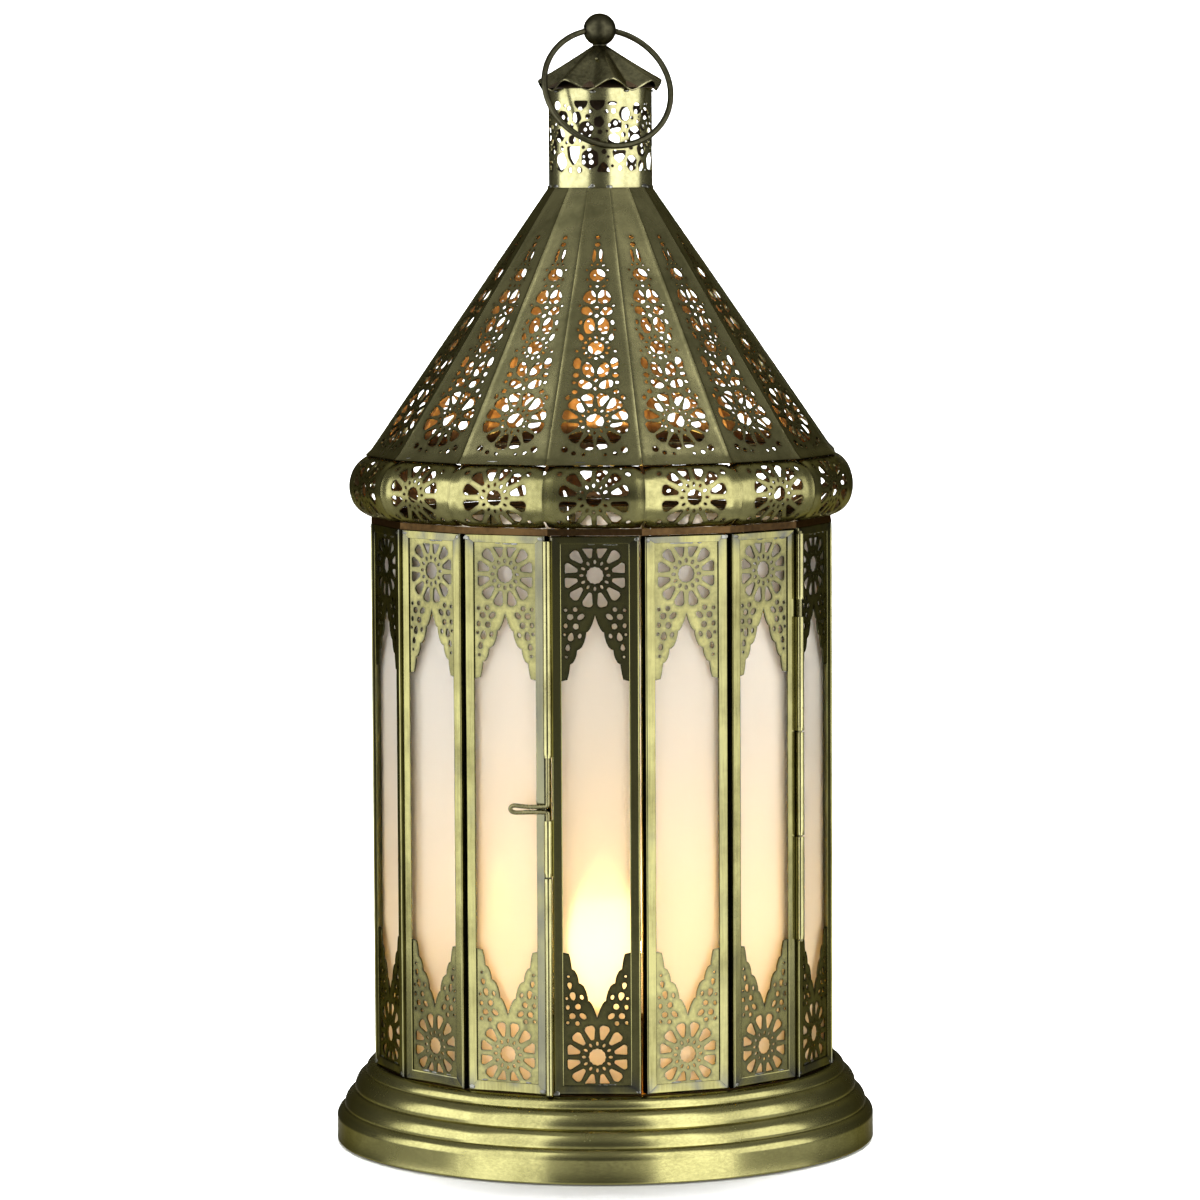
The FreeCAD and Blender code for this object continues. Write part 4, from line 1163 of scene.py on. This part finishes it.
v, t, q, r = solid_sheet(CV, CT, CD, chim_place, 0.6, 0.0, 0.0)
# the collar's inside takes the near-black inner material: painted shade inside the chimney
finish_piece(copies("pierced_chimney", [(v, t, q, r)], 40, M_PAINTED_SHADE), M_CHIM, "lantern", "chimney_collar", slot="roof_brass")

# ======================================================================
# pleated cap
# ======================================================================
def cap_surface(na=256, nr=22):
    th = np.linspace(0, 2 * math.pi, na, endpoint=False)
    P = np.zeros((nr, na, 3))
    ph = math.radians(13.0)
    c = np.cos(8 * (th - ph))
    tri = 1 - np.arccos(np.clip(c * 0.985, -1, 1)) / math.pi        # 1 on a ridge, 0 in a valley
    w = 0.45 * np.clip(tri, 0, 1) ** 1.1 + 0.55 * (0.5 + 0.5 * c)
    for i in range(nr):
        f = i / (nr - 1)
        rr = 3.5 + (29.3 - 3.5) * f
        rv = 3.5 + (26.6 - 3.5) * f
        zr = 510.4 + (495.0 - 510.4) * f - 0.3 * math.sin(math.pi * f)
        zv = 510.4 + (489.9 - 510.4) * f - 0.2 * math.sin(math.pi * f)
        r = rv + (rr - rv) * w
        z = zv + (zr - zv) * w
        irr = 0.35 * np.sin(3 * th + 1.3) + 0.25 * np.sin(5 * th + 0.2)
        z = z + irr * f * 0.6
        P[i, :, 0] = r * np.sin(th)
        P[i, :, 1] = -r * np.cos(th)
        P[i, :, 2] = z
    return P


cs = cap_surface()
inner = cs.copy()
inner[..., 2] -= 0.75
inner[-1, :, :2] *= 0.992
rim_mid = (cs[-1] + inner[-1]) / 2
rim_mid[:, :2] *= 1.006
allp = np.concatenate([cs, rim_mid[None], inner[::-1]], 0)
v, qd = grid_mesh(allp, True, True)
cap = make("pleated_cap", v, pack_faces(None, qd), 50)
bm = bmesh.new(); bm.from_mesh(cap.data); bmesh.ops.recalc_face_normals(bm, faces=bm.faces)
bmesh.ops.create_uvsphere(bm, u_segments=16, v_segments=10, radius=0.75 * MM,
                          matrix=Matrix.Translation((-0.0012, -0.0115, 0.5042)))
for f in bm.faces: f.smooth = True
bm.to_mesh(cap.data); bm.free()
finish_piece(cap, M_CAP, "lantern", "cap_hood", slot="bronzed_brass")

# thin dark cone under the cap, closing it over the chimney: a dark sheet standing in for the shade under the cap
ln_ = [(27.2, 490.75), (27.45, 490.95), (3.4, 504.2), (3.2, 503.7)]
liner = lathe("cap_liner", ln_, 96, smooth=40)
finish_piece(liner, M_PAINTED_SHADE, "lantern")

# ball finial with a cross bore
bp_ = []
for i in range(33):
    a = math.pi / 2 - math.pi * i / 32
    bp_.append((max(0.02, 7.65 * math.cos(a)), 517.8 + 7.65 * math.sin(a)))
bp_ = [p for p in bp_ if not (p[1] < 517.8 and p[0] < 3.6)]
bp_ += [(3.3, 510.9), (3.35, 510.3), (3.9, 509.9), (3.9, 509.2), (2.1, 509.0), (2.0, 500.5), (0.02, 500.5)]
ball = lathe("ball_finial", bp_[::-1], 72, closed=False, smooth=40)
bm = bmesh.new(); bm.from_mesh(ball.data)
bmesh.ops.remove_doubles(bm, verts=bm.verts, dist=1e-7)
bmesh.ops.holes_fill(bm, edges=[e for e in bm.edges if e.is_boundary], sides=0)
bmesh.ops.recalc_face_normals(bm, faces=bm.faces)
bm.to_mesh(ball.data); bm.free()
RAX = math.radians(17.25)
cut_me = bpy.data.meshes.new("bore_cutter")
bm = bmesh.new()
tdir = Vector((math.cos(RAX), math.sin(RAX), 0))
q_ = tdir.to_track_quat("Z", "Y").to_matrix().to_4x4()
bmesh.ops.create_cone(bm, cap_ends=True, segments=40, radius1=2.65 * MM, radius2=2.65 * MM, depth=24 * MM,
                      matrix=Matrix.Translation((0, 0, 0.5178)) @ q_)
bm.to_mesh(cut_me); bm.free()
cutter = bpy.data.objects.new("bore_cutter", cut_me)
scene.collection.objects.link(cutter)
mod = ball.modifiers.new("bore", "BOOLEAN"); mod.object = cutter; mod.solver = "EXACT"
bpy.context.view_layer.update()
dg = bpy.context.evaluated_depsgraph_get()
me = bpy.data.meshes.new_from_object(ball.evaluated_get(dg))
ball.modifiers.clear(); ball.data = me
bpy.data.objects.remove(cutter)
for p in ball.data.polygons: p.use_smooth = True
ball.data.set_sharp_from_angle(angle=math.radians(40))
finish_piece(ball, M_DARK, "lantern", "finial_ball", slot="bronzed_brass")

# carry ring, with a closed butt joint inside the ball
lean = math.radians(26.5)
nrm = np.array([math.sin(RAX), -math.cos(RAX), 0.0])
tt = np.array([math.cos(RAX), math.sin(RAX), 0.0])
down = np.array([0, 0, -math.cos(lean)]) + nrm * math.sin(lean)
ctr = np.array([0, 0, 517.8]) + down * 30.0
axn = np.cross(down, tt)
na, nb = 160, 20
P = np.zeros((na, nb, 3))
for i in range(na):
    a = 2 * math.pi * i / na
    rad = -down * math.cos(a) + tt * math.sin(a)
    for j in range(nb):
        b = 2 * math.pi * j / nb
        rw = 1.45 - 0.05 * abs(noise.noise(Vector((i * 0.15, 2.0, 0.5))))
        P[i, j] = ctr + rad * (30.0 + rw * math.cos(b)) + axn * rw * math.sin(b)
v, qd = grid_mesh(P, True, True)
ringo = make("carry_ring_wire", v, pack_faces(None, qd), 60)
bm = bmesh.new(); bm.from_mesh(ringo.data); bmesh.ops.recalc_face_normals(bm, faces=bm.faces); bm.to_mesh(ringo.data); bm.free()
finish_piece(ringo, M_DARK, "ring", "carry_ring", slot="bronzed_brass")

# ======================================================================
# hinge and latch: rolled tubes with a leaf, pin and bolt wire
# ======================================================================
def rolled_section():
    # open roll: outer arc and inner arc (local x to the far side of the seam, y inward);
    # the leaf that lies against the frame web is added apart, in rolled_tube
    out = []
    a0, a1 = math.radians(-160), math.radians(168)
    n = 34
    for i in range(n + 1):
        a = a0 + (a1 - a0) * i / n
        out.append((1.8 * math.cos(a), 1.8 * math.sin(a)))
    for i in range(n + 1):
        a = a1 + (a0 - a1) * i / n
        out.append((1.12 * math.cos(a), 1.12 * math.sin(a)))
    return np.array(out)


RS = rolled_section()
_r = delaunay_2d_cdt([Vector(p) for p in RS], [(i, (i + 1) % len(RS)) for i in range(len(RS))], [], 1, 1e-6)
RS_T = [tuple(f) for f in _r[2]]
assert len(_r[0]) == len(RS)


def rolled_tube(theta, z0, z1, side):
    """One knuckle: rolled tube and leaf. side -1: leaf on the smaller-angle frame."""
    c = seam_xy(theta)
    nz = max(4, int((z1 - z0) / 6))
    zs = [z0, z0 + 0.25] + list(np.linspace(z0 + 2, z1 - 2, nz)) + [z1 - 0.25, z1]
    ring = []
    base_a = math.radians(theta)
    for i, z in enumerate(zs):
        sc = 0.955 if i in (0, len(zs) - 1) else 1.0
        Q = RS * np.array([1, 1])
        rad = np.linalg.norm(Q, axis=1)
        Q = np.where((rad > 1.5)[:, None], Q * sc, Q)
        # slit faces the body, a little to the leaf's side
        a = base_a + math.pi / 2 + (math.radians(14) if side < 0 else math.radians(-14))
        ca, sa = math.cos(a - math.pi), math.sin(a - math.pi)
        X = c[0] + Q[:, 0] * ca - Q[:, 1] * sa
        Y = c[1] + Q[:, 0] * sa + Q[:, 1] * ca
        ring.append(np.stack([X, Y, np.full(len(Q), z)], 1))
    P = np.array(ring)
    v, q = grid_mesh(P, False, True)
    n = len(RS)
    last = len(v) - n
    t = [list(f) for f in RS_T] + [[last + i for i in reversed(f)] for f in RS_T]
    # leaf plate
    x0, x1 = (19.82, 20.32) if side < 0 else (-20.32, -19.82)
    y0, y1 = -APO - 0.55, -APO + 4.0
    lv = np.array([(x, y, z) for z in (z0 + 0.1, z1 - 0.1) for x, y in ((x0, y0), (x1, y0), (x1, y1), (x0, y1))], float)
    lv = rot_z(lv, theta + side * STEP / 2)
    lq = np.array([(0, 3, 2, 1), (4, 5, 6, 7), (0, 1, 5, 4), (1, 2, 6, 5), (2, 3, 7, 6), (3, 0, 4, 7)]) + len(v)
    return np.concatenate([v, lv]), np.array(t), np.concatenate([q, lq]), None


def tube_piece(name, body, node, items, mat):
    ob = copies(name, [rolled_tube(*i) for i in items], 30)
    bm = bmesh.new(); bm.from_mesh(ob.data); bmesh.ops.recalc_face_normals(bm, faces=bm.faces); bm.to_mesh(ob.data); bm.free()
    finish_piece(ob, mat, body, node, slot="antique_brass")


TH, TL = 56.25, -11.25
tube_piece("hinge_tubes_body", "lantern", "hinge_knuckles_fixed", [(TH, 258.0, 288.0, 1), (TH, 150.0, 197.2, 1)], M_TUBE)
tube_piece("hinge_tubes_door", "door", "hinge_knuckles_door", [(TH, 198.0, 250.0, -1), (TH, 102.0, 149.2, -1)], M_TUBE)
tube_piece("latch_tubes_door", "door", "latch_guide_tubes", [(TL, 190.8, 288.0, 1), (TL, 137.1, 162.4, 1)], M_TUBE)
tube_piece("latch_tube_keeper", "lantern", "latch_keeper", [(TL, 38.0, 136.3, -1)], M_TUBE)


def wire_piece(name, pts, r, body, node, mat, rnd=True):
    cu = bpy.data.curves.new(name, "CURVE")
    cu.dimensions = "3D"
    cu.bevel_depth = r * MM
    cu.bevel_resolution = 5
    cu.use_fill_caps = True
    sp = cu.splines.new("NURBS")
    sp.points.add(len(pts) - 1)
    for pt, p in zip(sp.points, pts):
        pt.co = (p[0] * MM, p[1] * MM, p[2] * MM, 1)
    sp.order_u = 3
    sp.use_endpoint_u = True
    sp.resolution_u = 8
    tmp = bpy.data.objects.new(name + "_c", cu)
    scene.collection.objects.link(tmp)
    bpy.context.view_layer.update()
    me = bpy.data.meshes.new_from_object(tmp.evaluated_get(bpy.context.evaluated_depsgraph_get()))
    bpy.data.objects.remove(tmp)
    me.name = name
    for p in me.polygons: p.use_smooth = True
    me.set_sharp_from_angle(angle=math.radians(50))
    ob = bpy.data.objects.new(name, me)
    scene.collection.objects.link(ob)
    finish_piece(ob, mat, body, node, slot="brass_wire")
    return ob


c2 = seam_xy(TH)
wire_piece("hinge_pin_wire", [(c2[0], c2[1], z) for z in (101.0, 101.6, 150, 200, 250, 288.4, 289.0)], 1.0, "door", "hinge_pin", M_WIRE)
c1 = seam_xy(TL)
al = math.radians(TL)
td = np.array([-math.cos(al), -math.sin(al)])


def lp(u, z, o=0.0):
    n_ = np.array([math.sin(al), -math.cos(al)])
    p = c1 + td * u + n_ * o
    return (p[0], p[1], z)


bolt_pts = [lp(0, 136.7), lp(0, 140), lp(0, 150), lp(0, 158), lp(0, 164.6), lp(0, 166.15), lp(1.6, 166.3), lp(5.0, 166.3), lp(9.0, 166.2),
            lp(13.0, 166.0), lp(15.4, 165.9), lp(16.9, 166.4), lp(17.5, 167.5), lp(16.9, 168.7), lp(15.4, 169.2), lp(13.0, 168.9),
            lp(9.0, 168.6), lp(5.0, 168.7), lp(1.7, 168.85), lp(0.0, 168.95), lp(0.0, 171.9), lp(0, 178), lp(0.0, 188), lp(0, 200), lp(0, 230), lp(0, 261.9)]
wire_piece("latch_bolt_wire", bolt_pts, 1.0, "latch", "latch_bolt", M_WIRE)

# ======================================================================
# solder: small frozen drops where the sheets meet
# ======================================================================
def blob(c, sx, sy, sz, seed, k):
    bm = bmesh.new()
    bmesh.ops.create_icosphere(bm, subdivisions=3, radius=1.0)
    vs = []
    for v in bm.verts:
        n_ = 1 + 0.28 * noise.noise(v.co * 1.4 + Vector((seed, seed * 2, 0)))
        vs.append((c[0] + v.co.x * sx * n_, c[1] + v.co.y * sy * n_, c[2] + v.co.z * sz * n_))
    tr = [[v.index for v in f.verts] for f in bm.faces]
    bm.free()
    return rot_z(np.array(vs), k), np.array(tr), None, None


rng = np.random.default_rng(21)
drops_l, drops_d = [], []
for k in range(SIDES):
    tgt = drops_d if k < 3 else drops_l
    for sx in (-1, 1):
        for zc_, hh in ((ZT - 1.6, 1), (ZB + 1.6, -1)):
            if rng.random() < 0.75:
                tgt.append(blob((sx * (18.2 + rng.uniform(-0.8, 0.6)), -APO - 0.02, zc_ + rng.uniform(-0.6, 0.4)),
                                rng.uniform(0.8, 1.7), 0.22, rng.uniform(0.5, 1.1), rng.uniform(0, 50), k * STEP))
    # ragged run of solder along the top of the opening
    for i in range(5):
        if rng.random() < 0.6:
            tgt.append(blob((rng.uniform(-13, 13), -APO + 0.55, OPEN1 - 0.2 + rng.uniform(-0.3, 0.2)),
                            rng.uniform(0.9, 2.6), 0.2, rng.uniform(0.3, 0.55), rng.uniform(0, 50), k * STEP))
        if rng.random() < 0.5:
            tgt.append(blob((rng.uniform(-13, 13), -APO + 0.55, OPEN0 + 0.2 + rng.uniform(-0.2, 0.3)),
                            rng.uniform(0.9, 2.6), 0.2, rng.uniform(0.3, 0.55), rng.uniform(0, 50), k * STEP))
    # roof lip
    for i in range(3):
        if rng.random() < 0.55:
            drops_l.append(blob((rng.uniform(-18, 18), -107.2, 322.7 + rng.uniform(-0.2, 0.3)),
                                rng.uniform(1.6, 5.0), 0.55, rng.uniform(0.35, 0.6), rng.uniform(0, 50), k * STEP))
for i in range(26):
    a = rng.uniform(0, 360)
    drops_l.append(blob((0, -24.35, 445.3 + rng.uniform(-0.3, 0.5)), rng.uniform(0.8, 2.4), 0.35, rng.uniform(0.4, 0.9), rng.uniform(0, 50), a))
for i in range(8):
    a = 13.0 + 22.5 + 45 * i + rng.uniform(-4, 4)
    drops_l.append(blob((0, -24.55, 489.3 + rng.uniform(-0.5, 0.3)), rng.uniform(0.9, 1.8), 0.4, rng.uniform(0.4, 0.8), rng.uniform(0, 50), a))
finish_piece(copies("solder_drops_body", drops_l, 60), M_SOLDER, "lantern", slot="zinc_steel")
finish_piece(copies("solder_drops_door", drops_d, 60), M_SOLDER, "door", slot="zinc_steel")

# ======================================================================
# stage, light and camera
# ======================================================================
fm, nt = nt_new("studio_floor")
o_ = add(nt, "ShaderNodeOutputMaterial"); d_ = add(nt, "ShaderNodeBsdfPrincipled")
d_.inputs["Base Color"].default_value = (0.86, 0.86, 0.86, 1)
d_.inputs["Roughness"].default_value = 0.8
d_.inputs["Specular IOR Level"].default_value = 0.2
nt.links.new(d_.outputs[0], o_.inputs[0])
pf = [(0.0, 0.0)] + [(r, 0.0) for r in np.linspace(300, 2600, 18)]
for i in range(1, 15):
    a = math.pi / 2 * i / 14
    pf.append((2600 + 900 * math.sin(a), 900 * (1 - math.cos(a))))
pf += [(3500, 1600), (3500, 2600), (3500, 3800)]
P = np.zeros((len(pf) - 18, 97, 3))
for i, (r, z) in enumerate(pf[18:]):
    th = np.linspace(math.radians(-10), math.radians(190), 97)
    P[i, :, 0] = r * np.cos(th)
    P[i, :, 1] = r * np.sin(th)
    P[i, :, 2] = z
v, qd = grid_mesh(P)
cyc = make("studio_sweep", v, pack_faces(None, qd), 60)
cyc.data.materials.append(fm)
cyc.visible_glossy = False
fl = make("studio_floor", [(-6000, 6000, -0.05), (6000, 6000, -0.05), (6000, -6000, -0.05), (-6000, -6000, -0.05)], [(3, 2, 1, 0)])
fl.data.materials.append(fm)
fl.visible_glossy = False


def area_light(name, loc, target, size, energy, col=(1, 1, 1), size_y=None, spread=180, glossy=True):
    l = bpy.data.lights.new(name, "AREA")
    l.shape = "RECTANGLE"
    l.size = size
    l.size_y = size_y or size
    l.energy = energy
    l.color = col
    l.spread = math.radians(spread)
    ob = bpy.data.objects.new(name, l)
    ob.location = loc
    ob.rotation_euler = (Vector(target) - Vector(loc)).to_track_quat("-Z", "Y").to_euler()
    ob.visible_camera = False
    ob.visible_glossy = glossy
    scene.collection.objects.link(ob)
    return ob


def around(az, dist, z):
    a = math.radians(az)
    return (dist * math.sin(a), -dist * math.cos(a), z)


area_light("softbox_right_near", around(40, 1.75, 1.1), (0, 0, 1.1), 1.07, 30.5, (1, 1, 1), 4.0)
area_light("softbox_right_far", around(77.5, 1.75, 0.62), (0, 0, 0.62), 1.2, 10.6, (1, 1, 1), 1.54)
area_light("softbox_left_near", around(-43, 1.75, 1.1), (0, 0, 1.1), 1.205, 30.0, (0.98, 0.99, 1), 4.0)
area_light("softbox_left_far", around(-80, 1.75, 0.62), (0, 0, 0.62), 1.205, 13.0, (0.98, 0.99, 1), 1.54)
area_light("floor_wash", (0.0, 0.8, 2.8), (0, 0.5, 0), 1.2, 40, (1, 1, 1), 1.4, 60, False)
area_light("floor_wash_back", (0.0, 2.2, 2.6), (0, 2.0, 0), 1.6, 28, (1, 1, 1), 1.2, 90, False)
area_light("backdrop_wash_l", (-1.1, 1.7, 2.4), (-0.2, 3.5, 0.8), 1.2, 30, (1, 1, 1), 1.2, 90, False)
area_light("backdrop_wash_r", (1.1, 1.7, 2.4), (0.2, 3.5, 0.8), 1.2, 30, (1, 1, 1), 1.2, 90, False)

w = bpy.data.worlds.new("studio_world")
scene.world = w
w.use_nodes = True
nt = w.node_tree
bg = nt.nodes["Background"]
tc = add(nt, "ShaderNodeTexCoord")
sep = add(nt, "ShaderNodeSeparateXYZ")
nt.links.new(tc.outputs["Generated"], sep.inputs[0])
mr = add(nt, "ShaderNodeMapRange")
mr.inputs["From Min"].default_value = -0.25
mr.inputs["From Max"].default_value = 1.0
nt.links.new(sep.outputs[2], mr.inputs[0])
rw_ = ramp(nt, [(0.0, (0.46, 0.46, 0.44)), (0.04, (0.42, 0.42, 0.40)), (0.10, (0.09, 0.09, 0.085)), (0.45, (0.085, 0.085, 0.082)), (0.68, (0.21, 0.21, 0.20)), (1.0, (0.27, 0.27, 0.26))])
nt.links.new(mr.outputs[0], rw_.inputs[0])
mx_ = add(nt, "ShaderNodeMapRange")
mx_.inputs["From Min"].default_value = -1.0
mx_.inputs["From Max"].default_value = 1.0
nt.links.new(sep.outputs[0], mx_.inputs[0])
side = ramp(nt, [(0.0, (1.15, 1.15, 1.15)), (0.22, (0.85, 0.85, 0.86)), (0.40, (1.25, 1.25, 1.22)), (0.5, (0.85, 0.85, 0.85)), (0.66, (1.35, 1.34, 1.28)), (0.8, (0.9, 0.9, 0.9)), (1.0, (1.2, 1.2, 1.2))])
nt.links.new(mx_.outputs[0], side.inputs[0])
mm_ = add(nt, "ShaderNodeMix", data_type="RGBA", blend_type="MULTIPLY")
mm_.inputs["Factor"].default_value = 1.0
nt.links.new(rw_.outputs[0], mm_.inputs[6])
nt.links.new(side.outputs[0], mm_.inputs[7])
nt.links.new(mm_.outputs[2], bg.inputs[0])
bg.inputs[1].default_value = 1.0

scene.view_settings.view_transform = "Standard"
scene.view_settings.look = "None"
scene.view_settings.exposure = 0.0

cam = bpy.data.cameras.new("camera")
cam.lens = 156.0
cam.sensor_width = 36.0
cam.clip_end = 30
cam.shift_x = -0.0022
co = bpy.data.objects.new("camera", cam)
D_, H_, ph_ = 2.4218, 0.4542, math.radians(1.85)
co.location = (D_ * math.sin(ph_), -D_ * math.cos(ph_), H_)
rot = Matrix.Rotation(ph_, 4, "Z") @ Matrix.Rotation(math.radians(90 - 4.755), 4, "X") @ Matrix.Rotation(math.radians(-0.3), 4, "Z")
co.rotation_euler = rot.to_euler()
scene.collection.objects.link(co)
scene.camera = co
